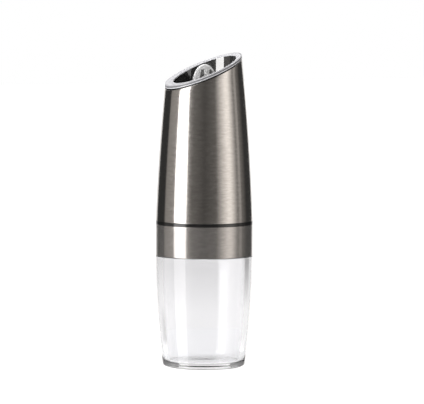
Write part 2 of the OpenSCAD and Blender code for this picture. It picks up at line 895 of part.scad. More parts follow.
module motor_armature() {
    color(copper_colour)
        difference() {
            union() {
                drill(armature_r, z_motor_back + magnet_margin, z_motor_front - can_wall - magnet_margin);
                drill(
                    armature_r / 3,
                    z_motor_back + can_wall + slide_gap, z_motor_front - can_wall - magnet_margin
                );
            }
            drill(motor_shaft_r + fit_play / 2, z_motor_back, z_motor_front);
            for (angle = [0, 120, 240]) {
                rotate([0, 0, angle])
                    translate([armature_r / 2, -core_slot_w / 2, z_motor_back + magnet_margin - past])
                        cube([armature_r, core_slot_w, motor_l]);
            }
        }
}

module motor_shaft() {
    color(steel_colour)
        drill(motor_shaft_r, z_motor_back - endcap_t + shaft_foot + ball_rest, z_gear[0] + gear_face);
}

module motor_screws() {
    color(steel_colour)
        at_motor_screws()
            screw(small_head_r, small_head_h, small_screw_r, z_plate_top, z_motor_front - 2 * can_wall);
}

module motor_leads() {
    color("firebrick")
        for (side = [-1, 1]) {
            translate([side * lead_x, 0, 0]) drill(wire_r, z_board_top, z_motor_back - endcap_t);
        }
}

// Gearbox

module motor_pinion() {
    color(brass_colour)
        difference() {
            toothed_disc(pinion_teeth, 0, z_gear[0]);
            drill(motor_shaft_r + fit_play / 2, z_gear[0] - past, z_gear[0] + gear_face + past);
        }
}

module gear_pin() {
    color(steel_colour)
        translate([gear_distance, 0, 0]) drill(gear_pin_r, z_plate + screw_end, z_gearbox + gearbox_top_t / 2);
}

module first_gear() {
    color(nylon_colour) translate([gear_distance, 0, 0]) double_gear(0, gear_pin_r + run_play, 180);
}

module second_gear() {
    color(nylon_colour) double_gear(1, tail_r + run_play, 0);
}

module third_gear() {
    color(nylon_colour) translate([gear_distance, 0, 0]) double_gear(2, gear_pin_r + run_play, 180);
}

module output_gear() {
    color(nylon_colour)
        difference() {
            toothed_disc(wheel_teeth, 180 / wheel_teeth, z_gear[3]);
            drill(spindle_r + fit_play / 2, z_gear[3] - past, z_gear[3] + gear_face + past);
        }
}

bush_r = spindle_r + run_play + bush_wall;
z_bush = z_gearbox + slide_gap;

module gearbox_outline(more, z0, z1) {
    drill(box_r_motor + more, z0, z1);
    translate([gear_distance, 0, 0]) drill(box_r_pin + more, z0, z1);
    translate([0, -box_r_pin - more, z0]) cube([gear_distance, 2 * (box_r_pin + more), z1 - z0]);
}

module gearbox_cover() {
    color(black_colour)
        difference() {
            union() {
                gearbox_outline(gearbox_wall, z_plate_top, z_gearbox_top);
                drill(bush_r + gearbox_wall, z_gearbox, z_bush + bush_l);
                at_tabs() drill(tab_r, z_plate_top, z_plate_top + tab_t);
            }
            gearbox_outline(0, z_plate_top - past, z_gearbox);
            drill(bush_r + fit_play / 2, z_gearbox - past, z_bush + bush_l + past);
            translate([gear_distance, 0, 0])
                drill(gear_pin_r + fit_play, z_gearbox - past, z_gearbox + gearbox_top_t / 2 + fit_play);
            at_tabs() drill(small_screw_r + fit_play, z_plate_top - past, z_plate_top + tab_t + past);
        }
}

module gearbox_screws() {
    color(steel_colour)
        at_tabs()
            screw(small_head_r, small_head_h, small_screw_r, z_plate_top + tab_t, z_plate + 2 * screw_end);
}

// Spindle

z_clip = z_bush + bush_l + slide_gap;
clip_t = 0.6;
clip_w = 2;
clip_r = spindle_r + clip_w;
clip_mouth = 1.4 * spindle_r;
z_spring = z_clip + clip_t;
z_spring_top = z_cone - slide_gap / 2;
z_spindle_flats = z_cone - grind_travel - slide_gap;

module spindle() {
    color(steel_colour) {
        drill(tail_r, z_gear[1], z_gear[3] + gear_face / 2);
        drill(spindle_r, z_gear[3], z_spindle_flats);
        intersection() {
            drill(spindle_r, z_spindle_flats - past, z_cone_top - grind_travel);
            translate([-spindle_flats / 2, -spindle_r, 0]) cube([spindle_flats, 2 * spindle_r, z_top]);
        }
        drill(stud_r, z_cone, z_cone_top + stud_l);
    }
}

module spindle_bush() {
    color(brass_colour) tube(bush_r, spindle_r + run_play, z_bush, z_bush + bush_l);
}

module spindle_clip() {
    color(steel_colour)
        difference() {
            tube(clip_r, spindle_r + fit_play / 2, z_clip, z_clip + clip_t);
            translate([0, -clip_mouth / 2, z_clip - past])
                cube([clip_r + past, clip_mouth, clip_t + 2 * past]);
        }
}

spring_sides = 6;
spring_rings = 8;
spring_steps = spring_rings * spring_turns;
spring_rise = z_spring_top - z_spring - spring_wire;
function spring_point(i) = [
    spring_r * cos(360 * i / spring_rings),
    spring_r * sin(360 * i / spring_rings),
    z_spring + spring_wire / 2 + spring_rise * i / spring_steps
];
function spring_ring(i) =
    let (middle = spring_point(i), angle = 360 * i / spring_rings)
    [
        for (j = [0:spring_sides - 1])
            let (
                a = 360 * j / spring_sides,
                out = spring_wire / 2 * cos(a),
                up = spring_wire / 2 * sin(a)
            )
            middle + [out * cos(angle), out * sin(angle), up]
    ];
spring_gap = min([
    for (i = [0:spring_steps]) for (j = [i + spring_rings - 2:1:spring_steps])
        norm(spring_point(i) - spring_point(j)) - spring_wire
]);
echo(least_gap_of_burr_spring = spring_gap);

module burr_spring() {
    color(steel_colour)
        polyhedron(
            [for (i = [0:spring_steps]) each spring_ring(i)],
            tube_faces(spring_steps + 1, spring_sides)
        );
}

// Grinder

module grinder_housing() {
    color(black_colour)
        difference() {
            union() {
                tube(housing_r, housing_in_r, z_plate_top, z_flange);
                tube(housing_r, holder_r, z_flange - lid_t, z_flange);
                at_pillars() drill(pillar_r, z_plate_top, z_flange);
            }
            at_pillars() drill(screw_r + fit_play, z_plate_top - past, z_flange + past);
            at_led_leads() drill(wire_r + fit_play, z_flange - lid_t - past, z_flange + past);
        }
}

holder_in_r = ring_r + fit_play;
holder_r = holder_in_r + holder_wall;
deck_r = mouth_r - cover_play;
led_x = deck_r - slide_gap - led_wall - led_r;
lead_apart = 1.6 * wire_r;
led_boss_r = led_r + led_wall;
led_depth = 3;
z_led = z_deck_top - led_depth;

module at_led() {
    translate([-led_x, 0, 0]) children();
}

module at_led_leads() {
    for (side = [-1, 1]) {
        translate([-led_x, side * lead_apart, 0]) children();
    }
}

module burr_holder() {
    color(black_colour)
        difference() {
            union() {
                drill(holder_flange_r, z_flange, z_flange_top);
                drill(holder_r, z_flange, z_ring_top);
                drill(deck_r, z_deck_top - deck_t, z_deck_top);
                at_led() drill(led_boss_r, z_flange, z_deck_top);
            }
            drill(holder_in_r, z_seat, z_ring_top + past);
            drill(throat_r, z_flange - past, z_ring_top);
            drill(holder_in_r - holder_wall, z_flange - past, z_seat - lid_t);
            at_pillars() {
                drill(screw_r + fit_play, z_flange - past, z_flange_top + past);
                drill(screw_head_r + slide_gap, z_flange_top - screw_head_h - slide_gap, z_flange_top + past);
            }
            at_led() drill(led_r + fit_play, z_led, z_deck_top + past);
            at_led_leads() drill(wire_r + fit_play, z_flange - past, z_led + past);
        }
}

module tie_screws() {
    color(steel_colour)
        at_pillars()
            screw(
                screw_head_r, screw_head_h, screw_r,
                z_flange_top - screw_head_h - slide_gap, z_plate + 2 * screw_end
            );
}

ring_bore_top = cone_r_low + (cone_r_top - cone_r_low) * (ring_h - cone_lift) / cone_h + grind_gap;
ring_lean = atan((ring_bore_top - ring_bore_low) / ring_h);
cone_lean = atan((cone_r_top - cone_r_low) / cone_h);
tooth_cut = 0.9;
tooth_twist = 18;

// Slanted grooves that cut teeth along a conical wall
module tooth_cuts(count, r_middle, z_middle, lean, twist) {
    for (i = [0:count - 1]) {
        rotate([0, 0, 360 * i / count])
            translate([r_middle, 0, z_middle])
                rotate([0, lean, 0])
                    rotate([twist, 0, 0])
                        cube([tooth_cut, tooth_cut, 2 * ring_h], center = true);
    }
}

module burr_ring() {
    color(ceramic_colour)
        difference() {
            drill(ring_r, z_seat, z_ring_top);
            translate([0, 0, z_seat]) cylinder(r1 = ring_bore_low, r2 = ring_bore_top, h = ring_h);
            drill(ring_bore_low, z_seat - past, z_seat + past);
            drill(ring_bore_top, z_ring_top - fit_play, z_ring_top + past);
            tooth_cuts(
                ring_teeth, (ring_bore_low + ring_bore_top) / 2, z_seat + ring_h / 2, ring_lean, tooth_twist
            );
        }
}

module burr_cone() {
    color(ceramic_colour)
        difference() {
            translate([0, 0, z_cone]) cylinder(r1 = cone_r_low, r2 = cone_r_top, h = cone_h);
            intersection() {
                drill(spindle_r + run_play, z_cone - past, z_cone_top + past);
                translate([-spindle_flats / 2 - run_play, -wide / 2, 0])
                    cube([spindle_flats + 2 * run_play, wide, z_top]);
            }
            tooth_cuts(cone_teeth, (cone_r_low + cone_r_top) / 2, z_cone + cone_h / 2, cone_lean, -tooth_twist);
        }
}

// Knob

grip_steps = 24;
grip_sink = 0.6;
groove_top = 0.62;
groove_x_top = 0.33;
groove_x_low = 0.5;
groove_w_top = 1;
groove_w_low = 1.8;
bore_over = grind_travel + 0.5;

module grip_groove(side) {
    x_top = side * groove_x_top * grip_half_w;
    x_low = side * groove_x_low * grip_half_w;
    polygon([
        [x_low - groove_w_low / 2, 0], [x_low + groove_w_low / 2, 0],
        [x_top + groove_w_top / 2, groove_top * grip_h], [x_top - groove_w_top / 2, groove_top * grip_h]
    ]);
}

module grip() {
    difference() {
        translate([0, grip_t / 2, z_knob_base_top])
            rotate([90, 0, 0])
                linear_extrude(grip_t)
                    polygon(concat(
                        [[-grip_half_w, -grip_sink], [grip_half_w, -grip_sink]],
                        [
                            for (i = [0:grip_steps])
                                let (a = 180 * i / grip_steps)
                                [grip_half_w * cos(a), grip_h * sin(a)]
                        ]
                    ));
        for (face = [0, 1]) for (side = [-1, 1]) {
            translate([0, face == 0 ? grip_t / 2 + past : -grip_t / 2 + groove_d, z_knob_base_top])
                rotate([90, 0, 0])
                    linear_extrude(groove_d + past)
                        grip_groove(side);
        }
    }
}

module adjusting_knob() {
    color(knob_colour)
        difference() {
            union() {
                drill(knob_r, z_knob, z_knob_base_top);
                rotate([0, 0, grip_angle]) grip();
            }
            drill(stud_r + run_play, z_knob - past, z_cone_top + stud_l + bore_over);
        }
}

// Light

module led() {
    color("white")
        at_led() {
            drill(led_r, z_led, z_deck_top);
            translate([0, 0, z_deck_top]) sphere(r = led_r);
        }
}

module led_leads() {
    color("firebrick") at_led_leads() drill(wire_r, z_plate + fit_play, z_led);
}

jar();
jar_gasket();
collar_sleeve();
adapter_ring();
base_screws();
chassis();
shell();
shell_liner();
bezel();
battery_cells();
lower_contacts();
upper_contacts();
control_board();
tilt_switch();
tilt_ball();
motor_can();
motor_endcap();
motor_magnets();
motor_armature();
motor_shaft();
motor_screws();
motor_leads();
motor_pinion();
gear_pin();
first_gear();
second_gear();
third_gear();
output_gear();
gearbox_cover();
gearbox_screws();
spindle();
spindle_bush();
spindle_clip();
grinder_housing();
burr_holder();
tie_screws();
burr_ring();
burr_cone();
burr_spring();
adjusting_knob();
led();
led_leads();
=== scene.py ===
# %% [markdown]
# # Dressing an electric pepper mill
# The mill was built in CAD first, and every CAD piece arrives here as a fixed frame. This lesson gives the
# pieces that show a finer mesh, gives every piece a procedural finish, and lights the mill like a product
# on a studio table.

# %% Load the frame
import json
import math

import bmesh
import bpy
from mathutils import Matrix, Quaternion, Vector

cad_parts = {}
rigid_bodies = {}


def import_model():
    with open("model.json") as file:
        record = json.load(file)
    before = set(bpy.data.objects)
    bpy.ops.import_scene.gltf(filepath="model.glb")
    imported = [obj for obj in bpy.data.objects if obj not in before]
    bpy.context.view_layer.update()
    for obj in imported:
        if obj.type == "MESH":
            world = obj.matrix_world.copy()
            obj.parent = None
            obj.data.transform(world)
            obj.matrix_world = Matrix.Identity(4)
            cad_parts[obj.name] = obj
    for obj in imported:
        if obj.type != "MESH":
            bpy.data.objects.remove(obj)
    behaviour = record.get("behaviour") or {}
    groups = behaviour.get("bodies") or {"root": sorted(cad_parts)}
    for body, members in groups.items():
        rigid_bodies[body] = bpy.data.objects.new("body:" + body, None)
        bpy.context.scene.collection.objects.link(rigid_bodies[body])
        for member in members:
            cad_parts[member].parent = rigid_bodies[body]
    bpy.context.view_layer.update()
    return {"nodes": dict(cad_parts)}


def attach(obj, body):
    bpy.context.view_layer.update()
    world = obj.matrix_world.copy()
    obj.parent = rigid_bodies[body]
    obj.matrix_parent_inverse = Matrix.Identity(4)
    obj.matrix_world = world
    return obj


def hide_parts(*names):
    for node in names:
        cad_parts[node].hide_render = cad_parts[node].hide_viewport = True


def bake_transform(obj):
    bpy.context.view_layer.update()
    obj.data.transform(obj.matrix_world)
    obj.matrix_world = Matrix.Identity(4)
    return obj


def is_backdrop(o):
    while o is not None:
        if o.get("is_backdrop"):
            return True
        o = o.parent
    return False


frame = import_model()
nodes = frame["nodes"]
scene = bpy.context.scene
MM = 0.001

# %% [markdown]
# ## Camera
# The mouth shows as a narrow oval and the collar as a shallow one, so the photographer stood far away with
# a long lens, a little above the mill. The long lens is copied rather than a normal one, because it keeps
# the tall sides straight.

# %% Camera
CAMERA_SIDE = math.radians(63.7)
CAMERA_AWAY = 2.0
CAMERA_HEIGHT = 0.262
CAMERA_ROLL = math.radians(0.23)
LOOK_HEIGHT = 0.1047
LOOK_RIGHT = 0.0049
LENS = 267.2
SENSOR = 36
toward_camera = Vector((math.sin(CAMERA_SIDE), -math.cos(CAMERA_SIDE), 0))
to_the_right = Vector((math.cos(CAMERA_SIDE), math.sin(CAMERA_SIDE), 0))
camera_data = bpy.data.cameras.new("studio_camera")
camera_data.lens = LENS
camera_data.sensor_width = SENSOR
camera = bpy.data.objects.new("studio_camera", camera_data)
scene.collection.objects.link(camera)
aside = to_the_right * LOOK_RIGHT
look_at = aside + Vector((0, 0, LOOK_HEIGHT))
camera.location = toward_camera * CAMERA_AWAY + aside + Vector((0, 0, CAMERA_HEIGHT))
aim = (look_at - camera.location).to_track_quat("-Z", "Y")
camera.rotation_euler = (aim @ Quaternion((0, 0, 1), CAMERA_ROLL)).to_euler()
scene.camera = camera
look_down = math.atan2(CAMERA_HEIGHT - LOOK_HEIGHT, CAMERA_AWAY)
print("camera looks down by", round(math.degrees(look_down), 1), "degrees")

# %% [markdown]
# ## A socket that does sums
# A finish is a chain of nodes. Wrapping one output in a small class lets the chain be written as Python
# sums, which is easier to read than a list of links. Everything that isn't a sum comes from the one method
# named node.


# %% Socket class
class Socket:
    """One value on its way through a material's nodes."""

    def __init__(self, tree, socket=None):
        self.tree = tree
        self.socket = socket

    def node(self, kind, settings=None, inputs=None, out=0):
        """Adds a node: its settings first, then the values or links of its sockets."""
        made = self.tree.nodes.new(kind)
        for name, value in (settings or {}).items():
            setattr(made, name, value)
        for key, value in (inputs or {}).items():
            if isinstance(value, Socket):
                self.tree.links.new(value.socket, made.inputs[key])
            else:
                made.inputs[key].default_value = value
        return Socket(self.tree, made.outputs[out])

    def maths(self, operation, first, second):
        return self.node("ShaderNodeMath", {"operation": operation}, {0: first, 1: second})

    def __add__(self, other):
        return self.maths("ADD", self, other)

    def __sub__(self, other):
        return self.maths("SUBTRACT", self, other)

    def __rsub__(self, other):
        return self.maths("SUBTRACT", other, self)

    def __mul__(self, other):
        return self.maths("MULTIPLY", self, other)

    def __gt__(self, other):
        return self.maths("GREATER_THAN", self, other)

    def __lt__(self, other):
        return self.maths("LESS_THAN", self, other)

    __radd__ = __add__
    __rmul__ = __mul__


print("socket sums: + - * > <")

# %% [markdown]
# ## Small building blocks for finishes
# Nearly every finish needs the same few things: where a point lies on the piece, noise stretched along one
# direction, a blend of two colours, and a fine bump. Object coordinates are used, since the pieces have no
# unwrapped textures and every mesh lies in the same frame in metres.

# %% Finish helpers
NOISE_LOW = 0.3
NOISE_HIGH = 0.7


def place(wire):
    return wire.node("ShaderNodeTexCoord", out="Object")


def along(wire, axis):
    return wire.node("ShaderNodeSeparateXYZ", inputs={0: place(wire)}, out=axis)


def painted(wire, name):
    """A value painted on the points of the mesh."""
    return wire.node("ShaderNodeAttribute", {"attribute_name": name}, out="Fac")


def grain(wire, across, upward=None, detail=2.0, roughness=0.5):
    """Noise from 0 to 1 with this many features to the metre along x and y, and along z if that differs."""
    per_metre = (across, across, upward or across)
    spread = wire.node("ShaderNodeVectorMath", {"operation": "MULTIPLY"}, {0: place(wire), 1: per_metre})
    return wire.node(
        "ShaderNodeTexNoise",
        inputs={"Vector": spread, "Scale": 1.0, "Detail": detail, "Roughness": roughness},
    )


def eased(wire, value, low, high, to_low=0.0, to_high=1.0):
    """The value spread from low..high to a new range, held at both ends."""
    return wire.node(
        "ShaderNodeMapRange", {"interpolation_type": "SMOOTHSTEP"},
        {"Value": value, "From Min": low, "From Max": high, "To Min": to_low, "To Max": to_high},
    )


def varied(wire, noise, low, high):
    """Noise, nearly all of it between NOISE_LOW and NOISE_HIGH, as a value from low to high."""
    return eased(wire, noise, NOISE_LOW, NOISE_HIGH, low, high)


def tint(wire, factor, first, second):
    return wire.node("ShaderNodeMix", {"data_type": "RGBA"}, {0: factor, 6: first, 7: second}, out=2)


def relief(wire, height, depth, strength):
    """A bump of this depth in mm."""
    return wire.node(
        "ShaderNodeBump", inputs={"Height": height, "Distance": depth * MM, "Strength": strength}
    )


def grey(value, warm=0.0):
    return (value * (1 + warm), value, value * (1 - warm), 1.0)


def finish(name, constants, paint):
    """A material: constants go straight onto the shader, and paint returns what changes over the surface."""
    made = bpy.data.materials.new(name)
    made.use_nodes = True
    shader = made.node_tree.nodes["Principled BSDF"]
    for socket, value in constants.items():
        shader.inputs[socket].default_value = value
    for socket, value in paint(Socket(made.node_tree)).items():
        made.node_tree.links.new(value.socket, shader.inputs[socket])
    print("finish:", name)
    return made


print("finish helpers ready")

# %% [markdown]
# ## Studio
# Polished metal shows the room more than itself. The steel in the photograph has upright bands: a white
# strip on the left, a softer light on the right, dark flags beside both. Curved panels around the table
# give the same bands. They are hidden from the camera, and the white table is hidden from reflections so
# that the bands run to the foot. A dark ceiling, seen in reflections only, keeps the polished inside of the
# mouth dark.

# %% Room and table
PURE_WHITE = (1, 1, 1, 1)
TABLE_HALF = 4.0
TABLE_CORNERS = ((-1, -1), (1, -1), (1, 1), (-1, 1))
scene.view_settings.view_transform = "Standard"
world = bpy.data.worlds.new("white_room")
world.use_nodes = True
world.node_tree.nodes["Background"].inputs["Color"].default_value = PURE_WHITE
world.node_tree.nodes["Background"].inputs["Strength"].default_value = 1.0
scene.world = world


def table_white(wire):
    speck = grain(wire, 900)
    return {"Base Color": tint(wire, speck, grey(0.44), grey(0.46))}


table_mesh = bpy.data.meshes.new("table")
table_mesh.from_pydata([(x * TABLE_HALF, y * TABLE_HALF, 0) for x, y in TABLE_CORNERS], [], [(0, 1, 2, 3)])
table = bpy.data.objects.new("table", table_mesh)
scene.collection.objects.link(table)
table_mesh.materials.append(finish(
    "table_white", {"Roughness": 0.9, "Emission Color": PURE_WHITE, "Emission Strength": 0.8}, table_white
))
table.visible_glossy = False
table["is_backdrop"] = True
print("table of", 2 * TABLE_HALF, "m in a white room")

# %% Panel helpers
PANEL_AWAY = 0.9
PANEL_STEP = 0.01
PANEL_LOW = -1.2
PANEL_HIGH = 1.3
PANEL_COLUMNS = 16
WHITE = (1.0, 0.99, 0.98, 1.0)
WARM = (1.0, 0.95, 0.90, 1.0)


def panel_look(name, colour):
    """A lamp whose strength is painted on the mesh."""
    lamp = bpy.data.materials.new(name)
    lamp.use_nodes = True
    wire = Socket(lamp.node_tree)
    shine = wire.node("ShaderNodeEmission", inputs={"Color": colour, "Strength": painted(wire, "glow")})
    lamp.node_tree.links.new(shine.socket, lamp.node_tree.nodes["Material Output"].inputs["Surface"])
    return lamp


def add_panel(name, points, faces, glows, colour, lights):
    """Puts a glowing mesh on the stage. It lights matt surfaces only if lights is true."""
    mesh = bpy.data.meshes.new(name)
    mesh.from_pydata(points, [], faces)
    mesh.attributes.new("glow", "FLOAT", "POINT").data.foreach_set("value", glows)
    mesh.materials.append(panel_look(name, colour))
    panel = bpy.data.objects.new(name, mesh)
    scene.collection.objects.link(panel)
    panel.visible_camera = False
    panel.visible_diffuse = lights
    panel.visible_shadow = False
    panel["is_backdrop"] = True
    return panel


def light_panel(
    name, start, end, glow_start, glow_end, colour, lights=False, low=PANEL_LOW, high=PANEL_HIGH
):
    """An upright curved panel. Its angles in degrees are seen from the mill: 0 is the camera, right positive.
    A shorter panel stands a step nearer, in front of the others."""
    away = PANEL_AWAY if low == PANEL_LOW else PANEL_AWAY - PANEL_STEP
    points = []
    glows = []
    for column in range(PANEL_COLUMNS + 1):
        share = column / PANEL_COLUMNS
        turn = math.radians(start + (end - start) * share)
        foot = (toward_camera * math.cos(turn) + to_the_right * math.sin(turn)) * away
        points += [foot + Vector((0, 0, low)), foot + Vector((0, 0, high))]
        glows += [glow_start + (glow_end - glow_start) * share] * 2
    faces = [(2 * i, 2 * i + 2, 2 * i + 3, 2 * i + 1) for i in range(PANEL_COLUMNS)]
    return add_panel(name, points, faces, glows, colour, lights)


def panel_count():
    return sum(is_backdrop(thing) for thing in scene.objects) - 1


print("panels stand", PANEL_AWAY, "m away")

# %% Light panels
light_panel("back_left", -180, -149, 1.0, 1.0, WHITE)
light_panel("flag_left", -149, -107, 0.045, 0.045, WHITE)
light_panel("card_left", -107, -74.5, 0.34, 0.42, WARM)
light_panel("strip_left", -75, -44, 3.0, 3.0, WHITE)
light_panel("strip_core", -75, -42, 7.5, 7.5, WHITE, low=0.135, high=0.18)
light_panel("strip_lamp", -74.5, -46, 7.0, 7.0, WHITE, lights=True).visible_glossy = False
light_panel("strip_fall", -44, -30, 0.42, 0.19, WARM)
light_panel("front_left", -30, 0, 0.19, 0.097, WARM)
light_panel("front_right", 0, 29, 0.097, 0.17, WARM)
light_panel("box_rise", 29, 60, 0.17, 1.35, WARM, lights=True)
light_panel("box_top", 60, 67, 1.35, 1.32, WARM, lights=True)
light_panel("box_fall", 67, 86, 1.32, 0.27, WARM, lights=True)
light_panel("gap_right", 86, 91, 0.3, 0.3, WARM)
light_panel("sliver_right", 91, 99, 0.47, 0.47, WARM)
light_panel("fade_right", 99, 118, 0.24, 0.07, WARM)
light_panel("flag_right", 118, 152, 0.05, 0.05, WHITE)
light_panel("back_right", 152, 180, 1.0, 1.0, WHITE)
print("light panels:", panel_count())

# %% [markdown]
# ## Cards behind the clear jar
# Clear plastic on a white table is nearly invisible, so a photographer stands cards behind it: pale ones
# for the walls to bend into grey lines, a bright one for the light side. Here one curved card close behind
# the jar has all of them painted on it, and an arch in its foot leaves the table in sight. Two pale panels
# stand in front of the dark flags, so that the jar's edges bend grey and not black. Card and pale panels
# are seen through the jar only, and the steel doesn't reflect them.

# %% Glow of the card
CARD_ARCH = 48
CARD_EDGE = 1.6
# Each of these holds the angle or height where a stretch starts, where it ends, and how soft its ends are.
CARD_STRETCH = (-85, 85, 10)
BRIGHT_STRETCH = (11, 42, 2)
LEFT_STRETCH = (-78, -58, 14)
RIGHT_STRETCH = (56, 78, 10)
ABOVE_FOOT = (0.04, 2, 0.08)
# Each of these holds a value at the card's foot, its value at the top, and the least and most that it may be.
CALM = (1.62, 0.73, 0.0, 1.37)
BRIGHT = (1.42, 1.21, 0.0, 1.42)
LEFT_LINE = (0.7, -1.05, 0.08, 0.3)
RIGHT_LINE = (-0.33, 0.97, 0.1, 1.0)


def smooth(value):
    """An even step from 0 to 1, held at both ends."""
    value = max(0.0, min(1.0, value))
    return value * value * (3 - 2 * value)


def bump(value, start, end, soft):
    """1 between start and end, falling to 0 over soft on both sides."""
    return smooth(min((value - start) / soft, (end - value) / soft) + 0.5)


def slope(up, at_foot, at_top, least, most):
    """An even change from foot to top, held between two values."""
    return max(least, min(most, at_foot + (at_top - at_foot) * up))


def card_glow(turn, up):
    """Glow at an angle from straight behind the jar, right positive, and a share of the card's height."""
    calm = slope(up, *CALM)
    calm += (slope(up, *BRIGHT) - calm) * bump(turn, *BRIGHT_STRETCH)
    lifted = bump(up, *ABOVE_FOOT)
    left = slope(up, *LEFT_LINE) * bump(turn, *LEFT_STRETCH) * lifted
    right = slope(up, *RIGHT_LINE) * bump(turn, *RIGHT_STRETCH)
    inside = bump(turn, *CARD_STRETCH) * (lifted if abs(turn) > CARD_ARCH else 1)
    glow = calm * (1 - left) * (1 - right)
    return CARD_EDGE + (glow - CARD_EDGE) * inside


print("glow in the middle of the card:", round(card_glow(0, 0.5), 3))

# %% Card behind the jar
CARD_AWAY = 0.06
CARD_LOW = 0.002
CARD_HIGH = 0.095
CARD_HALF = 90
CARD_COLUMNS = 90
CARD_ROWS = 24
ARCH_ROWS = 4
PALE_GLOW = 0.3


def card_turn(column):
    return -CARD_HALF + 2 * CARD_HALF * column / CARD_COLUMNS


card_points = []
card_glows = []
for column in range(CARD_COLUMNS + 1):
    turn = card_turn(column)
    angle = math.radians(turn)
    foot = (to_the_right * math.sin(angle) - toward_camera * math.cos(angle)) * CARD_AWAY
    for row in range(CARD_ROWS + 1):
        up = row / CARD_ROWS
        card_points.append(foot + Vector((0, 0, CARD_LOW + (CARD_HIGH - CARD_LOW) * up)))
        card_glows.append(card_glow(turn, up))
card_faces = []
for column in range(CARD_COLUMNS):
    for row in range(ARCH_ROWS if abs(card_turn(column)) < CARD_ARCH else 0, CARD_ROWS):
        corner = column * (CARD_ROWS + 1) + row
        card_faces.append((corner, corner + CARD_ROWS + 1, corner + CARD_ROWS + 2, corner + 1))
jar_card = add_panel("jar_card", card_points, card_faces, card_glows, WHITE, False)
jar_card.visible_glossy = False
for name, start, end in (("clear_left", -152, -104), ("clear_right", 115, 155)):
    light_panel(name, start, end, PALE_GLOW, PALE_GLOW, WHITE, low=0.0).visible_glossy = False
print("card behind the jar:", len(card_faces), "faces")

# %% Dark ceiling
CEILING_SIDES = 48
CEILING_GLOW = 0.06
rim_points = []
for side in range(CEILING_SIDES):
    angle = 2 * math.pi * side / CEILING_SIDES
    rim_points.append((PANEL_AWAY * math.cos(angle), PANEL_AWAY * math.sin(angle), PANEL_HIGH))
ceiling = add_panel(
    "dark_ceiling", rim_points, [tuple(range(CEILING_SIDES))], [CEILING_GLOW] * CEILING_SIDES, WHITE, False
)
ceiling.visible_transmission = False
print("panels, card and ceiling:", panel_count())

# %% [markdown]
# ## Metal finishes
# The shell and collar were brushed while they turned, so fine lines run around the axis. Real brushing
# blurs a reflection across the lines and keeps it sharp along them, which is what an anisotropic shader
# does. Its turn of a quarter lays the blur upright. The streaks themselves are two noises, a fine and a
# broad one, both stretched around the axis.

# %% Brushed steel
METAL = {"Metallic": 1.0}
ACROSS = {"Anisotropic": 0.88, "Anisotropic Rotation": 0.25}
FINE_SHARE = 0.3
STREAK_SHARE = 0.65
PAINTED_LIGHT_FROM = 0.1
PAINTED_LIGHT_TO = 0.19


def brushing(dark, light, smooth_end, rough_end):
    """Lines around the axis, between two colours and two roughnesses, a little lighter towards the top
    as painted light.
    """

    def paint(wire):
        fine = grain(wire, 40, 5200, detail=3.0, roughness=0.6)
        broad = grain(wire, 230, 1250)
        streak = eased(wire, fine * FINE_SHARE + broad * (1 - FINE_SHARE), 0.32, 0.68)
        # Painted light: the colour gets lighter towards the top of the piece.
        upward = eased(wire, along(wire, "Z"), PAINTED_LIGHT_FROM, PAINTED_LIGHT_TO)
        return {
            "Base Color": tint(wire, streak * STREAK_SHARE + upward * (1 - STREAK_SHARE), dark, light),
            "Roughness": eased(wire, streak, 0.0, 1.0, smooth_end, rough_end),
            "Normal": relief(wire, fine, 0.01, 0.12),
        }

    return paint


brushed_steel = finish(
    "brushed_steel", {**METAL, **ACROSS},
    brushing((0.54, 0.516, 0.495, 1), (0.68, 0.654, 0.63, 1), 0.16, 0.24),
)
# Painted shade: the collar's steel is a darker, less metallic copy of the shell's steel, which dims its
# highlights.
shaded_collar_steel = finish(
    "shaded_collar_steel", {"Metallic": 0.9, **ACROSS},
    brushing((0.41, 0.391, 0.376, 1), (0.51, 0.486, 0.469, 1), 0.2, 0.26),
)


# %% Rim, plating and brass
def satin_and_mirror(wire):
    """Satin silver on the rim's face and lip, and a dark mirror on the mouth's wall. The lip and outer edge
    are painted darker as a painted reflection, and the underside in the gap dark as painted shade.
    """
    speck = grain(wire, 2600)
    smear = grain(wire, 120, 160, detail=3.0)
    # This painted value marks the dark mirror wall, and also the rim's underside, which is painted dark as
    # shade in the gap.
    wall = painted(wire, "rim_wall_and_gap_shade")
    face = tint(wire, speck, (0.50, 0.50, 0.525, 1), (0.55, 0.55, 0.575, 1))
    # Painted reflection: the lip's dark grey stands for the dark front reflected in it.
    lip = tint(wire, speck, (0.13, 0.13, 0.137, 1), (0.16, 0.16, 0.168, 1))
    dark = tint(wire, smear, grey(0.12), grey(0.145))
    return {
        "Base Color": tint(wire, wall, tint(wire, painted(wire, "rim_lip_dark_reflection"), face, lip), dark),
        "Metallic": eased(wire, wall, 0.0, 1.0, 0.15, 0.85),
        "Roughness": eased(wire, wall, 0.0, 1.0, 0.36, 0.05),
    }


def plated(wire):
    speck = grain(wire, 2500, detail=3.0)
    haze = grain(wire, 260)
    return {
        "Base Color": tint(wire, haze, grey(0.52, 0.02), grey(0.68, 0.01)),
        "Roughness": eased(wire, speck, 0.25, 0.75, 0.2, 0.36),
        "Normal": relief(wire, speck, 0.01, 0.3),
    }


def turned_brass(wire):
    rings = grain(wire, 60, 7000)
    tarnish = eased(wire, grain(wire, 420, detail=3.0), 0.35, 0.7)
    return {
        "Base Color": tint(wire, tarnish, (0.80, 0.58, 0.24, 1), (0.62, 0.40, 0.15, 1)),
        "Roughness": varied(wire, rings, 0.2, 0.38),
        "Normal": relief(wire, rings, 0.01, 0.4),
    }


rim_silver = finish("rim_silver", {}, satin_and_mirror)
plated_steel = finish("plated_steel", METAL, plated)
brass = finish("turned_brass", METAL, turned_brass)

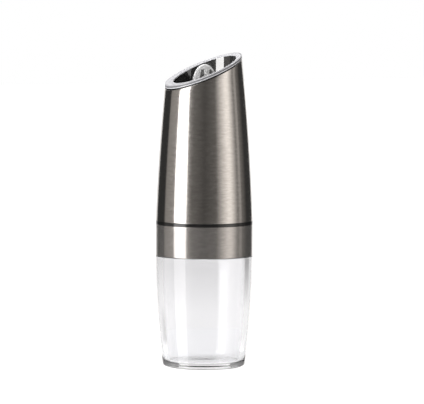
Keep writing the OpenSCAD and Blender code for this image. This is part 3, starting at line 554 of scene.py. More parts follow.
# %% [markdown]
# ## Plastic, ceramic and rubber finishes
# The jar is polished clear acrylic: a solid with a true refraction index, so its thick foot bends the room
# into dark corners by itself. The knob is milky, which light enters and leaves again; its raised edge has a
# painted highlight, and the floors of its slots are painted darker as shade. The hidden carriers are black
# plastic with a spark-eroded grain, and the burrs are unglazed ceramic with faint specks.

# %% Clear and milky plastic
GRIP_HALF = 7.5
GRIP_TALL = 11.3
GRIP_FOOT = 181.2
GRIP_TURN = math.radians(65)
HIGHLIGHT_FROM = 0.88
HIGHLIGHT_TO = 0.95
SLOT_FLOOR = 1.25
SLOT_SIDE = 1.9


def polished_clear(wire):
    flow = grain(wire, 60, 22)
    return {
        "Base Color": tint(wire, flow, (0.82, 0.82, 0.835, 1), (0.84, 0.84, 0.85, 1)),
        "Roughness": eased(wire, flow, 0.35, 0.8, 0.0, 0.02),
    }


def milky(wire):
    """Cloudy white, with a painted highlight on the raised edge and painted shade on the slot floors.
    Places on the half-moon grip are shares of its half width and height.
    """
    cloud = grain(wire, 210)
    speck = grain(wire, 3200)
    lengthwise = along(wire, "X") * math.cos(GRIP_TURN) + along(wire, "Y") * math.sin(GRIP_TURN)
    across = lengthwise * (1 / (GRIP_HALF * MM))
    height = (along(wire, "Z") - GRIP_FOOT * MM) * (1 / (GRIP_TALL * MM))
    # Painted highlight: the grip's raised edge is mixed paler.
    edge = eased(wire, across * across + height * height, HIGHLIGHT_FROM, HIGHLIGHT_TO)
    off = along(wire, "Y") * math.cos(GRIP_TURN) - along(wire, "X") * math.sin(GRIP_TURN)
    near_middle = eased(wire, off * off, (SLOT_FLOOR * MM) ** 2, (SLOT_SIDE * MM) ** 2, 1.0, 0.0)
    # Painted shade: the slot floors, near the grip's middle plane, are mixed darker.
    painted_slot_shade = near_middle * (height > 0)
    body = tint(wire, painted_slot_shade, tint(wire, cloud, grey(0.43), grey(0.49)), grey(0.24))
    return {
        "Base Color": tint(wire, edge, body, grey(0.8)),
        "Roughness": varied(wire, speck, 0.24, 0.36),
        "Normal": relief(wire, speck, 0.01, 0.25),
    }


clear_acrylic = finish("clear_acrylic", {"IOR": 1.49, "Transmission Weight": 1.0}, polished_clear)
milky_plastic = finish(
    "milky_plastic",
    {
        "Subsurface Weight": 0.55, "Subsurface Scale": 0.003, "Subsurface Radius": (1.0, 1.0, 1.0),
        "Coat Weight": 0.15,
    },
    milky,
)


# %% Black and white plastic
def eroded_black(wire):
    pits = grain(wire, 4200, detail=3.0, roughness=0.6)
    cloud = grain(wire, 90)
    return {
        "Base Color": tint(wire, cloud, grey(0.012), grey(0.022)),
        "Roughness": varied(wire, pits, 0.38, 0.56),
        "Normal": relief(wire, pits, 0.03, 0.5),
    }


def moulded_black(wire):
    flow = grain(wire, 160, 300)
    return {
        "Base Color": tint(wire, flow, grey(0.003), grey(0.006)),
        "Roughness": varied(wire, flow, 0.08, 0.14),
    }


def satin_white(wire):
    speck = grain(wire, 4200)
    cloud = grain(wire, 120)
    return {
        "Base Color": tint(wire, cloud, grey(0.82), grey(0.88)),
        "Roughness": varied(wire, speck, 0.3, 0.45),
        "Normal": relief(wire, speck, 0.02, 0.3),
    }


black_plastic = finish("black_plastic", {}, eroded_black)
gloss_black = finish("gloss_black", {"IOR": 1.7}, moulded_black)
white_plastic = finish("white_plastic", {}, satin_white)


# %% Ceramic, rubber, nylon and epoxy
def unglazed(wire):
    pits = grain(wire, 5200, detail=3.0, roughness=0.6)
    speck = eased(wire, grain(wire, 1400, detail=1.0), 0.66, 0.72)
    return {
        "Base Color": tint(wire, speck, (0.86, 0.84, 0.78, 1), (0.58, 0.54, 0.47, 1)),
        "Roughness": varied(wire, pits, 0.5, 0.72),
        "Normal": relief(wire, pits, 0.03, 0.6),
    }


def silicone(wire):
    bloom = grain(wire, 340, detail=3.0)
    return {
        "Base Color": tint(wire, bloom, (0.78, 0.78, 0.75, 1), (0.88, 0.88, 0.86, 1)),
        "Roughness": varied(wire, bloom, 0.42, 0.6),
    }


def natural_nylon(wire):
    cloud = grain(wire, 380)
    speck = grain(wire, 4200)
    return {
        "Base Color": tint(wire, cloud, (0.80, 0.76, 0.66, 1), (0.89, 0.86, 0.78, 1)),
        "Roughness": varied(wire, speck, 0.36, 0.52),
        "Normal": relief(wire, speck, 0.02, 0.4),
    }


def clear_epoxy(wire):
    swirl = grain(wire, 500)
    return {
        "Base Color": tint(wire, swirl, (0.90, 0.93, 0.96, 1), (0.97, 0.98, 1.0, 1)),
        "Roughness": varied(wire, swirl, 0.02, 0.07),
    }


ceramic = finish("ceramic", {"Subsurface Weight": 0.1, "Subsurface Scale": 0.001}, unglazed)
seal_rubber = finish("seal_rubber", {"Subsurface Weight": 0.3, "Subsurface Scale": 0.002}, silicone)
nylon = finish("nylon", {"Subsurface Weight": 0.25, "Subsurface Scale": 0.001}, natural_nylon)
led_epoxy = finish("led_epoxy", {"IOR": 1.53, "Transmission Weight": 0.7}, clear_epoxy)

# %% [markdown]
# ## Finishes of the drive
# The cells have a plain foil wrap, the motor a stack of thin iron plates between copper windings, the board
# a green lacquer over its tracks. Each of these is a pattern that follows height or position, so it is
# painted by the same coordinates that place the piece.

# %% Cells, motor and magnets
WRAP_FROM = 4.55
BAND_FROM = 0.74
PLATE_SCALE = 420.0


def plain_wrap(wire):
    """Dark foil with a copper band near the nub, around bare end plates."""
    scuff = grain(wire, 700, 90, detail=3.0)
    body = tint(wire, scuff, (0.030, 0.045, 0.065, 1), (0.050, 0.068, 0.090, 1))
    banded = tint(wire, painted(wire, "height_share") > BAND_FROM, body, (0.52, 0.29, 0.11, 1))
    return {
        "Base Color": tint(wire, painted(wire, "reach") > WRAP_FROM, grey(0.62), banded),
        "Metallic": 1 - (painted(wire, "reach") > WRAP_FROM) * 0.7,
        "Roughness": varied(wire, scuff, 0.22, 0.4),
    }


def wound_core(wire):
    plates = wire.node(
        "ShaderNodeTexWave", {"bands_direction": "Z"},
        {"Vector": place(wire), "Scale": PLATE_SCALE, "Distortion": 0.0},
    )
    strands = grain(wire, 1500, 120)
    copper = tint(wire, strands, (0.48, 0.20, 0.09, 1), (0.72, 0.34, 0.17, 1))
    return {
        "Base Color": tint(wire, plates, grey(0.16, 0.05), copper),
        "Roughness": varied(wire, strands, 0.3, 0.5),
    }


def pressed_magnet(wire):
    speck = grain(wire, 3000, detail=3.0)
    return {
        "Base Color": tint(wire, speck, grey(0.035), grey(0.075)),
        "Roughness": varied(wire, speck, 0.5, 0.75),
        "Normal": relief(wire, speck, 0.03, 0.5),
    }


cell_wrap = finish("cell_wrap", {"Coat Weight": 0.4}, plain_wrap)
motor_core = finish("motor_core", {"Metallic": 0.8}, wound_core)
magnet = finish("magnet", {}, pressed_magnet)

# %% Board and wires
TRACK_SCALE = 420.0
BOARD_FACE = 0.09248
WIRES_LEAN = 0.2
WIRES_PARTING = -0.002


def lacquered_board(wire):
    """Green lacquer, paler over the tracks, and dark parts that stand on the board's face."""
    tracks = wire.node(
        "ShaderNodeTexVoronoi", {"feature": "DISTANCE_TO_EDGE"},
        {"Vector": place(wire), "Scale": TRACK_SCALE},
    )
    green = tint(wire, eased(wire, tracks, 0.05, 0.09), (0.06, 0.30, 0.12, 1), (0.015, 0.12, 0.045, 1))
    return {
        "Base Color": tint(wire, along(wire, "Z") > BOARD_FACE, green, grey(0.02)),
        "Roughness": eased(wire, tracks, 0.0, 0.3, 0.25, 0.38),
    }


def two_wires(wire):
    """Red on one side of a line through the mill, black on the other, and tin on the bare ends."""
    side = along(wire, "Y") + along(wire, "X") * WIRES_LEAN > WIRES_PARTING
    scuff = grain(wire, 900, 200)
    red = tint(wire, scuff, (0.42, 0.035, 0.03, 1), (0.55, 0.06, 0.05, 1))
    black = tint(wire, scuff, grey(0.015), grey(0.03))
    bare = painted(wire, "bare")
    return {
        "Base Color": tint(wire, bare, tint(wire, side, black, red), grey(0.7, 0.02)),
        "Metallic": bare,
        "Roughness": varied(wire, scuff, 0.34, 0.5),
    }


board_green = finish("board_green", {"Coat Weight": 0.4}, lacquered_board)
wire_cover = finish("wire_cover", {}, two_wires)

# %% [markdown]
# ## Finishes on the CAD pieces
# Pieces whose CAD shape is already right keep it, and only get a finish in their material slots.

# %% Dress the CAD pieces
FINISHES = {
    black_plastic: ["shell_liner", "gearbox_cover", "grinder_housing", "burr_holder"],
    gloss_black: ["chassis"],
    white_plastic: ["adapter_ring"],
    plated_steel: ["tilt_switch", "motor_can", "motor_shaft", "gear_pin", "spindle", "spindle_clip"],
    brass: ["lower_contacts", "upper_contacts", "tilt_ball", "motor_pinion", "spindle_bush"],
    nylon: ["motor_endcap", "first_gear", "second_gear", "third_gear", "output_gear"],
    ceramic: ["burr_ring", "burr_cone"],
    motor_core: ["motor_armature"],
    magnet: ["motor_magnets"],
    board_green: ["control_board"],
    led_epoxy: ["led"],
}
for look, names in FINISHES.items():
    for name in names:
        for slot in nodes[name].material_slots:
            slot.material = look
print("CAD pieces dressed:", sum(len(names) for names in FINISHES.values()))

# %% [markdown]
# ## Turned pieces
# The jar, collar, shell and rim are all round, so each is an outline carried around the axis. Only the rim
# and the shell's top are slanted, which an outline that may change with the angle handles. Edges get a true
# small radius, because a rounded edge catches a thin line of light that a sharp one can't.

# %% Outlines
CRISP = 0.1
FINE = 0.2
SOFT = 0.3
ROUND = 0.5
EDGE_SHARE = 0.45
SKIN_SIDES = 192


def rounded(corners, steps=4):
    """A closed outline from corners of radius, height and edge radius, all in mm."""
    points = []
    for i, (x, y, radius) in enumerate(corners):
        here = Vector((x, y))
        if radius == 0:
            points.append(here)
            continue
        before = Vector(corners[i - 1][:2]) - here
        after = Vector(corners[(i + 1) % len(corners)][:2]) - here
        half = before.angle(after) / 2
        reach = min(radius / math.tan(half), EDGE_SHARE * before.length, EDGE_SHARE * after.length)
        bow = reach * math.tan(half)
        middle = here + (before.normalized() + after.normalized()).normalized() * bow / math.sin(half)
        first = here + before.normalized() * reach - middle
        sweep = first.angle_signed(here + after.normalized() * reach - middle)
        for step in range(steps + 1):
            points.append(middle + Matrix.Rotation(-sweep * step / steps, 2) @ first)
    return points


def spaced(first, last, count):
    return [first + (last - first) * i / (count - 1) for i in range(count)]


def swollen(share, foot, top, swell):
    """A radius that goes evenly from foot to top and swells in between."""
    return foot + (top - foot) * share + swell * 4 * share * (1 - share)


def carry_round(mesh_builder, outline, sides, closed=True, centre=(0.0, 0.0)):
    """Carries outline(angle), a list of points of radius and height in mm, around an upright axis."""
    rings = []
    for step in range(sides):
        angle = 2 * math.pi * step / sides
        ring = []
        for radius, height in outline(angle):
            x = centre[0] + radius * math.cos(angle)
            y = centre[1] + radius * math.sin(angle)
            ring.append(mesh_builder.verts.new((x * MM, y * MM, height * MM)))
        rings.append(ring)
    count = len(rings[0])
    for step in range(sides):
        ring = rings[step]
        following = rings[(step + 1) % sides]
        for j in range(count if closed else count - 1):
            k = (j + 1) % count
            mesh_builder.faces.new((ring[j], following[j], following[k], ring[k]))


def turned(outline, sides, closed=True):
    """A new bmesh with one outline carried around the mill's axis."""
    made = bmesh.new()
    carry_round(made, outline, sides, closed)
    return made


print("outline helpers ready")

# %% Meshes and pieces
WELD = 1e-7


def welded_mesh(name, mesh_builder):
    """The mesh of a bmesh, with doubled points joined and all faces smooth and turned outwards."""
    bmesh.ops.remove_doubles(mesh_builder, verts=mesh_builder.verts, dist=WELD)
    bmesh.ops.recalc_face_normals(mesh_builder, faces=mesh_builder.faces)
    for face in mesh_builder.faces:
        face.smooth = True
    mesh = bpy.data.meshes.new(name)
    mesh_builder.to_mesh(mesh)
    mesh_builder.free()
    return mesh


def make_piece(name, mesh_builder, look, slot, body, *replaced, sharp=40):
    """Turns a bmesh into a smooth piece that stands for CAD nodes. It rides on a body, or on none yet."""
    mesh = welded_mesh(name, mesh_builder)
    mesh.set_sharp_from_angle(angle=math.radians(sharp))
    mesh.materials.append(look)
    piece = bpy.data.objects.new(name, mesh)
    scene.collection.objects.link(piece)
    if body:
        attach(piece, body)
    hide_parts(*replaced)
    print(name, "faces:", len(mesh.polygons))
    return piece


print("piece helpers ready")

# %% [markdown]
# ## Shell and rim
# The shell is a sheet-steel tube that tapers and swells slightly, cut on a slant. The chrome rim closes the
# cut with a satin face that falls a little towards the mouth, and goes down inside as the mouth's dark
# mirror wall. A thin gap parts shell and rim. Two values painted on the rim's points tell its finish where
# the wall is, with the underside in the gap painted dark as shade, and where the lip and outer edge get a
# painted dark reflection.

# %% Shell
SHELL_FOOT = 93.0
SHELL_TALL = 107.0
SHELL_R_FOOT = 31.0
SHELL_R_TOP = 23.3
SHELL_SWELL = 1.0
SHELL_WALL = 0.7
SHELL_ROWS = 26
MOUTH_SLANT = math.radians(22.9)
RIM_THICK = 2.0
RIM_GAP = 0.7
EDGE_ROUNDS = 8
mouth_middle = SHELL_FOOT + SHELL_TALL - SHELL_R_TOP * math.tan(MOUTH_SLANT)


def shell_radius(height):
    return swollen((height - SHELL_FOOT) / SHELL_TALL, SHELL_R_FOOT, SHELL_R_TOP, SHELL_SWELL)


def slant_height(radius, angle, drop):
    """Height on the mouth's plane, lowered by drop, above a point of the ground plan."""
    return mouth_middle + radius * math.sin(angle) * math.tan(MOUTH_SLANT) - drop / math.cos(MOUTH_SLANT)


def shell_edge(angle, drop):
    """Radius and height where the shell's face meets the lowered mouth plane, found in a few rounds."""
    radius = SHELL_R_TOP
    for _ in range(EDGE_ROUNDS):
        radius = shell_radius(slant_height(radius, angle, drop))
    return radius, slant_height(radius, angle, drop)


def shell_outline(angle):
    top_r, top = shell_edge(angle, RIM_THICK + RIM_GAP)
    rows = spaced(SHELL_FOOT, top, SHELL_ROWS)
    outside = [(shell_radius(z), z, 0) for z in rows[1:-1]]
    inside = [(shell_radius(z) - SHELL_WALL, z, 0) for z in reversed(rows[1:-1])]
    foot_r = shell_radius(SHELL_FOOT)
    return rounded([
        (foot_r, SHELL_FOOT, SOFT), *outside, (top_r, top, FINE), (top_r - SHELL_WALL, top, FINE), *inside,
        (foot_r - SHELL_WALL, SHELL_FOOT, FINE),
    ])


make_piece("shell_skin", turned(shell_outline, SKIN_SIDES), brushed_steel, "steel_shell", "cover", "shell")

# %% Rim
MOUTH_R = 20.0
MOUTH_WALL = 1.2
MOUTH_FLOOR = 167.2
RIM_DISH = 0.8
WALL_START = 0.1
WALL_START_LOW = 0.65
WALL_FADE = 0.05
WALL_ROWS = 8
LIP_LOW = 1.4
LIP_HIGH = 0.55
LIP_FADE = 0.08
EDGE_DOWN = 0.35
EDGE_IN = 0.8
SHOULDER_ROUND = 0.4
FACE_ROUND = 0.6


def wall_start(angle):
    """How far below the rim's inner edge the dark wall starts: lower at the low end of the mouth."""
    return WALL_START + WALL_START_LOW * smooth(0.5 - math.sin(angle))


def rim_outline(angle):
    low_r, low = shell_edge(angle, RIM_THICK)
    top_r = shell_edge(angle, 0)[0]
    lip_rows = (LIP_LOW + LIP_FADE, LIP_LOW, LIP_HIGH, LIP_HIGH - LIP_FADE)
    lip = [(*shell_edge(angle, drop), 0) for drop in lip_rows]
    edge_r = top_r - EDGE_IN
    edge = slant_height(edge_r, angle, RIM_DISH * EDGE_IN / (top_r - MOUTH_R))
    inner_top = slant_height(MOUTH_R, angle, RIM_DISH)
    start = inner_top - wall_start(angle)
    wall_rows = [start + WALL_FADE, *spaced(start - WALL_FADE, MOUTH_FLOOR, WALL_ROWS)[:-1]]
    back_r = MOUTH_R + MOUTH_WALL
    return rounded([
        (low_r, low, SOFT), *lip, (*shell_edge(angle, EDGE_DOWN), SHOULDER_ROUND), (edge_r, edge, FACE_ROUND),
        (MOUTH_R, inner_top, CRISP), *[(MOUTH_R, z, 0) for z in wall_rows], (MOUTH_R, MOUTH_FLOOR, SOFT),
        (back_r, MOUTH_FLOOR, SOFT), (back_r, slant_height(back_r, angle, RIM_THICK), 0),
    ])


rim = turned(rim_outline, SKIN_SIDES)
print("rim points:", len(rim.verts))

# %% Wall, painted shade and painted reflection of the rim
WALL_NEAR = 0.25
UNDER_NEAR = 0.2
LIP_NEAR = 0.1
LIP_SLACK = 0.02
EDGE_SHADE = 0.3


def wall_shade_and_lip_reflection(point):
    """How much of the dark wall or the underside's painted shade, and how much of the painted dark
    reflection on the lip and outer edge, shows at a point of the rim.
    """
    radius = math.hypot(point.x, point.y) / MM
    height = point.z / MM
    angle = math.atan2(point.y, point.x)
    below = slant_height(radius, angle, 0) - height
    drop = below * math.cos(MOUTH_SLANT)
    under_start = below > RIM_DISH / math.cos(MOUTH_SLANT) + wall_start(angle)
    on_wall = radius < MOUTH_R + WALL_NEAR and under_start
    # Painted shade: the underside in the gap between shell and rim is painted as dark as the wall.
    shaded_underside = radius < shell_radius(height) - WALL_NEAR and drop > RIM_THICK - UNDER_NEAR
    lip_height = LIP_HIGH - LIP_SLACK < drop < LIP_LOW + LIP_SLACK
    on_lip = radius > shell_radius(height) - LIP_NEAR and lip_height
    # The rounded outer edge gets part of the lip's painted dark reflection.
    on_edge = radius > shell_edge(angle, 0)[0] - EDGE_IN and drop <= LIP_HIGH - LIP_SLACK
    return float(on_wall or shaded_underside), 1.0 if on_lip else EDGE_SHADE * on_edge


wall_and_gap_shade_layer = rim.verts.layers.float.new("rim_wall_and_gap_shade")
lip_reflection_layer = rim.verts.layers.float.new("rim_lip_dark_reflection")
for vertex in rim.verts:
    vertex[wall_and_gap_shade_layer], vertex[lip_reflection_layer] = wall_shade_and_lip_reflection(vertex.co)
make_piece("mouth_rim", rim, rim_silver, "chrome_rim", "cover", "bezel")

# %% [markdown]
# ## Collar
# A short ring of the same brushed steel, with both edges turned over slightly. Its finish is a darker,
# less metallic copy of the shell's: painted shade that dims its highlights.

# %% Collar
COLLAR_R = 31.0
COLLAR_WALL = 0.6
COLLAR_FOOT = 71.0
COLLAR_TOP = 91.0
COLLAR_ROWS = 6


def collar_outline(angle):
    rows = spaced(COLLAR_FOOT, COLLAR_TOP, COLLAR_ROWS)[1:-1]
    return rounded([
        (COLLAR_R, COLLAR_FOOT, SOFT), *[(COLLAR_R, z, 0) for z in rows], (COLLAR_R, COLLAR_TOP, SOFT),
        (COLLAR_R - COLLAR_WALL, COLLAR_TOP, CRISP), (COLLAR_R - COLLAR_WALL, COLLAR_FOOT, CRISP),
    ])


collar = turned(collar_outline, SKIN_SIDES)
make_piece("collar_skin", collar, shaded_collar_steel, "steel_shell", "head", "collar_sleeve")

# %% [markdown]
# ## Jar
# The jar is one moulding of clear acrylic with a thick floor, a rounded foot, a small mark of the moulding
# gate under it, and a threaded neck that the collar hides. The thread is raised by moving the neck's
# outline out along a helix, so the jar stays one closed skin. Light only bends properly through a skin
# without inner faces.

# %% Thread of the jar
THREAD_FOOT = 72.9
THREAD_LEAD = 8.0
THREAD_SWEEP = 240.0
THREAD_DEEP = 0.8
THREAD_FADE = 24.0
THREAD_HALF = 0.75
THREAD_FLANK = 0.4
THREAD_STARTS = (0, 180)


def thread_rise(angle, height):
    """How far the two-start thread stands out of the neck at a point."""
    best = 0.0
    for start in THREAD_STARTS:
        turn = (math.degrees(angle) - start) % 360
        if turn > THREAD_SWEEP:
            continue
        off = abs(height - THREAD_FOOT - THREAD_LEAD * turn / 360)
        flank = max(0.0, min(1.0, (THREAD_HALF - off) / THREAD_FLANK))
        fade = min(1.0, turn / THREAD_FADE, (THREAD_SWEEP - turn) / THREAD_FADE)
        best = max(best, THREAD_DEEP * flank * fade)
    return best


print("thread climbs", round(THREAD_LEAD * THREAD_SWEEP / 360, 2), "mm")

# %% Jar
JAR_TALL = 70.7
JAR_R_FOOT = 26.4
JAR_R_TOP = 31.0
JAR_SWELL = 1.1
JAR_FOOT_ROUND = 2.4
JAR_FOOT_IN = 0.05
JAR_TOP_ROUND = 0.35
JAR_WALL = 4.0
JAR_FLOOR = 3.6
JAR_ROWS = 30
FLOOR_ROUND = 2.0
GATE_R = 1.6
GATE_FLAT_R = 0.96
GATE_DEEP = 0.5
GATE_ROUND = 0.25
NECK_R = 27.85
NECK_IN_R = 26.35
NECK_TOP = 82.2
NECK_ROWS = 40
NECK_LEAD_IN = 0.6
NECK_LEAD_OUT = 0.7
WALL_FOOT = 6.0
WALL_TOP = 68.7
JAR_STEPS = 5


def jar_radius(height):
    share = (height - JAR_FOOT_ROUND) / (JAR_TALL - JAR_FOOT_ROUND)
    return swollen(share, JAR_R_FOOT, JAR_R_TOP, JAR_SWELL)


def jar_inside(height):
    """The wall thickens evenly from the floor to the neck."""
    more = jar_radius(WALL_TOP) - NECK_IN_R - JAR_WALL
    return jar_radius(height) - JAR_WALL - more * (height - WALL_FOOT) / (WALL_TOP - WALL_FOOT)


def jar_outline(angle):
    outside = [(jar_radius(z), z, 0) for z in spaced(JAR_FOOT_ROUND, JAR_TALL, JAR_ROWS)[1:-1]]
    neck_rows = spaced(JAR_TALL + NECK_LEAD_IN, NECK_TOP - NECK_LEAD_OUT, NECK_ROWS)
    neck = [(NECK_R + thread_rise(angle, z), z, 0) for z in neck_rows]
    inside = [(jar_inside(z), z, 0) for z in reversed(spaced(WALL_FOOT, WALL_TOP, JAR_ROWS)[1:])]
    corners = [
        (0, GATE_DEEP, 0), (GATE_FLAT_R, GATE_DEEP, 0), (GATE_R, 0, GATE_ROUND),
        (JAR_R_FOOT - JAR_FOOT_IN, 0, JAR_FOOT_ROUND), *outside, (JAR_R_TOP, JAR_TALL, JAR_TOP_ROUND),
        (NECK_R, JAR_TALL, SOFT), *neck, (NECK_R, NECK_TOP, ROUND), (NECK_IN_R, NECK_TOP, ROUND),
        *inside, (jar_inside(JAR_FLOOR), JAR_FLOOR, FLOOR_ROUND), (0, JAR_FLOOR, 0),
    ]
    return rounded(corners, JAR_STEPS)


jar = turned(jar_outline, SKIN_SIDES, closed=False)
make_piece("clear_jar", jar, clear_acrylic, "clear_jar", "jar", "jar", sharp=60)

# %% [markdown]
# ## Adjusting knob
# The knob is a milky half-moon grip on a round base, with two tapered finger slots on each face and a fine
# raised edge. The grip is a grid laid over the half-moon whose thickness is worked out at each point, so
# slots, raised edge and rounded outline are all one smooth skin. A boolean joins it to the base and drills
# the blind bore for the stud.

# %% Thickness of the grip
GRIP_THICK = 5.0
GRIP_BLUNT = 16
BEAD_TALL = 0.3
BEAD_AT = 0.93
BEAD_WIDE = 0.03
SLOT_DEEP = 1.3
SLOT_SHIFT = -1.4
SLOT_TOP = 8.1
SLOT_OUT = 5.0
SLOT_TAPER = 1.3
SLOT_IN = 1.2
SLOT_RISE = 1.0
SLOT_STEEP = 0.3
SLOT_END = 0.7
SLOT_LIMIT = 0.9
SLOT_LIMIT_FADE = 0.03


def slot_cut(across, height):
    """Depth share of both slots at a point of the face: steep outside, rising gently to the rib between."""
    deepest = 0.0
    outer = SLOT_OUT - SLOT_TAPER * min(1.0, height / SLOT_TOP)
    end = smooth((SLOT_TOP - height) / SLOT_END)
    for side in (-1, 1):
        out = side * (across - SLOT_SHIFT)
        rise = smooth((out - SLOT_IN) / SLOT_RISE)
        drop = smooth((outer - out) / SLOT_STEEP)
        deepest = max(deepest, rise * drop * end)
    return deepest


def grip_half_thickness(across, height, out):
    """Half the grip's thickness at a point, where out goes from 0 at its foot's middle to 1 at its edge."""
    if out == 1:
        return 0.0
    edge = max(0.0, 1 - out ** GRIP_BLUNT) ** 0.5
    bead = BEAD_TALL * math.exp(-((out - BEAD_AT) / BEAD_WIDE) ** 2)
    cut = SLOT_DEEP * slot_cut(across, height) * smooth((SLOT_LIMIT - out) / SLOT_LIMIT_FADE)
    return GRIP_THICK / 2 * edge + bead - cut


print("grip at its foot's middle:", round(2 * grip_half_thickness(0, 0, 0), 2), "mm thick")

# %% Grip
GRIP_SINK = 0.6
GRIP_RINGS = 64
GRIP_SPOKES = 160
RING_CROWDING = 1.6
FOOT_SLACK = 1e-6


def grip_points(face):
    """Rings of points over one face of the half-moon, from its foot's middle to its edge."""
    rings = []
    for ring in range(GRIP_RINGS + 1):
        out = 1 - (1 - ring / GRIP_RINGS) ** RING_CROWDING
        row = []
        for spoke in range(GRIP_SPOKES + 1):
            turn = math.pi * spoke / GRIP_SPOKES
            across = GRIP_HALF * out * math.cos(turn)
            height = GRIP_TALL * out * math.sin(turn)
            deep = grip_half_thickness(face * across, height, out)
            row.append((across, face * deep, height if height > FOOT_SLACK else -GRIP_SINK))
        rings.append(row)
    return rings


def grip_builder():
    made = bmesh.new()
    turn = Matrix.Rotation(GRIP_TURN, 4, "Z")
    front, back = [
        [
            [made.verts.new(turn @ Vector((x * MM, y * MM, (GRIP_FOOT + z) * MM))) for x, y, z in row]
            for row in grip_points(face)
        ]
        for face in (-1, 1)
    ]
    for rows in (front, back):
        for inner, outer in zip(rows, rows[1:]):
            for j in range(GRIP_SPOKES):
                made.faces.new((inner[j], outer[j], outer[j + 1], inner[j + 1]))
    for j in (0, GRIP_SPOKES):
        for i in range(GRIP_RINGS):
            made.faces.new((front[i][j], front[i + 1][j], back[i + 1][j], back[i][j]))
    return made


grip_skin = grip_builder()
print("grip faces:", len(grip_skin.faces))

# %% Boolean helpers
DISC_SIDES = 96


def loose(name, mesh_builder):
    """A helper object for a boolean."""
    helper = bpy.data.objects.new(name, welded_mesh(name, mesh_builder))
    scene.collection.objects.link(helper)
    return helper


def combined(base, *steps):
    """The base after exact booleans with other helpers, as a new bmesh. The helpers are removed."""
    for operation, other in steps:
        modifier = base.modifiers.new(operation, "BOOLEAN")
        modifier.operation = operation
        modifier.solver = "EXACT"
        modifier.object = other
    evaluated = base.evaluated_get(bpy.context.evaluated_depsgraph_get())
    made = bmesh.new()
    made.from_mesh(evaluated.to_mesh())
    for helper in (base, *[other for _, other in steps]):
        bpy.data.objects.remove(helper)
    return made


def closed_disc(corners):
    """A turned solid from corners of radius, height and edge radius, closed on its axis."""
    return turned(lambda angle: rounded(corners), DISC_SIDES, closed=False)


print("boolean helpers ready")

# %% Knob
KNOB_R = 9.6
KNOB_FOOT = 178.0
KNOB_FOOT_ROUND = 0.4
KNOB_TOP_ROUND = 0.9
BORE_R = 2.05
BORE_TOP = 186.0
BORE_START = KNOB_FOOT - 1
base_disc = loose("knob_base", closed_disc([
    (0, KNOB_FOOT, 0), (KNOB_R, KNOB_FOOT, KNOB_FOOT_ROUND),
    (KNOB_R, GRIP_FOOT, KNOB_TOP_ROUND), (0, GRIP_FOOT, 0),
]))
grip = loose("knob_grip", grip_skin)
bore = loose("knob_bore", closed_disc([
    (0, BORE_START, 0), (BORE_R, BORE_START, 0), (BORE_R, BORE_TOP, 0), (0, BORE_TOP, 0),
]))
make_piece(
    "grinding_knob", combined(base_disc, ("UNION", grip), ("DIFFERENCE", bore)),
    milky_plastic, "knob_plastic", "knob", "adjusting_knob", sharp=50,
)

# %% [markdown]
# ## Cells
# The CAD node of the cells holds six separate solids. Each one is found by walking along its edges, and its
# narrow end tells where the nub is. The wrap needs to know how far a point lies from the cell's axis and
# how high it is on the cell, and those two values are painted on the mesh.

# %% Separate solids
CAD_WELD = 1e-6
END_SLACK = 0.02


def islands(name):
    """The points, in mm, of each separate solid of a CAD node."""
    made = bmesh.new()
    made.from_mesh(nodes[name].data)
    bmesh.ops.remove_doubles(made, verts=made.verts, dist=CAD_WELD)
    made.verts.index_update()
    seen = set()
    groups = []
    for start in made.verts:
        if start.index in seen:
            continue
        seen.add(start.index)
        waiting = [start]
        group = []
        while waiting:
            vertex = waiting.pop()
            group.append(nodes[name].matrix_world @ vertex.co / MM)
            for edge in vertex.link_edges:
                other = edge.other_vert(vertex)
                if other.index not in seen:
                    seen.add(other.index)
                    waiting.append(other)
        groups.append(group)
    made.free()
    return groups


class Upright:
    """Where an upright turned solid stands: its axis, both ends, and its radius at each end, in mm."""

    def __init__(self, points):
        self.x = (min(p.x for p in points) + max(p.x for p in points)) / 2
        self.y = (min(p.y for p in points) + max(p.y for p in points)) / 2
        self.low = min(p.z for p in points)
        self.high = max(p.z for p in points)
        self.low_r = self.reach(points, self.low)
        self.high_r = self.reach(points, self.high)

    def reach(self, points, height):
        return max(math.hypot(p.x - self.x, p.y - self.y) for p in points if abs(p.z - height) < END_SLACK)

    def stand(self, narrow_up):
        """Lifts a model that starts at height 0 onto this place, turned over if it has to be."""
        lift = Matrix.Translation((self.x * MM, self.y * MM, self.low * MM))
        if narrow_up == (self.high_r < self.low_r):
            return lift
        height = (self.high - self.low) * MM
        return lift @ Matrix.Translation((0, 0, height)) @ Matrix.Rotation(math.pi, 4, "X")


def uprights(name):
    return [Upright(points) for points in islands(name)]


def stand_copies(model, spots, narrow_up):
    """One bmesh with a copy of the model on every spot."""
    mesh = bpy.data.meshes.new("model")
    model.to_mesh(mesh)
    model.free()
    made = bmesh.new()
    for spot in spots:
        copy = mesh.copy()
        copy.transform(spot.stand(narrow_up))
        made.from_mesh(copy)
        bpy.data.meshes.remove(copy)
    bpy.data.meshes.remove(mesh)
    return made


cells = uprights("battery_cells")
print("cells:", len(cells), "with the nub up:", sum(cell.high_r < cell.low_r for cell in cells))

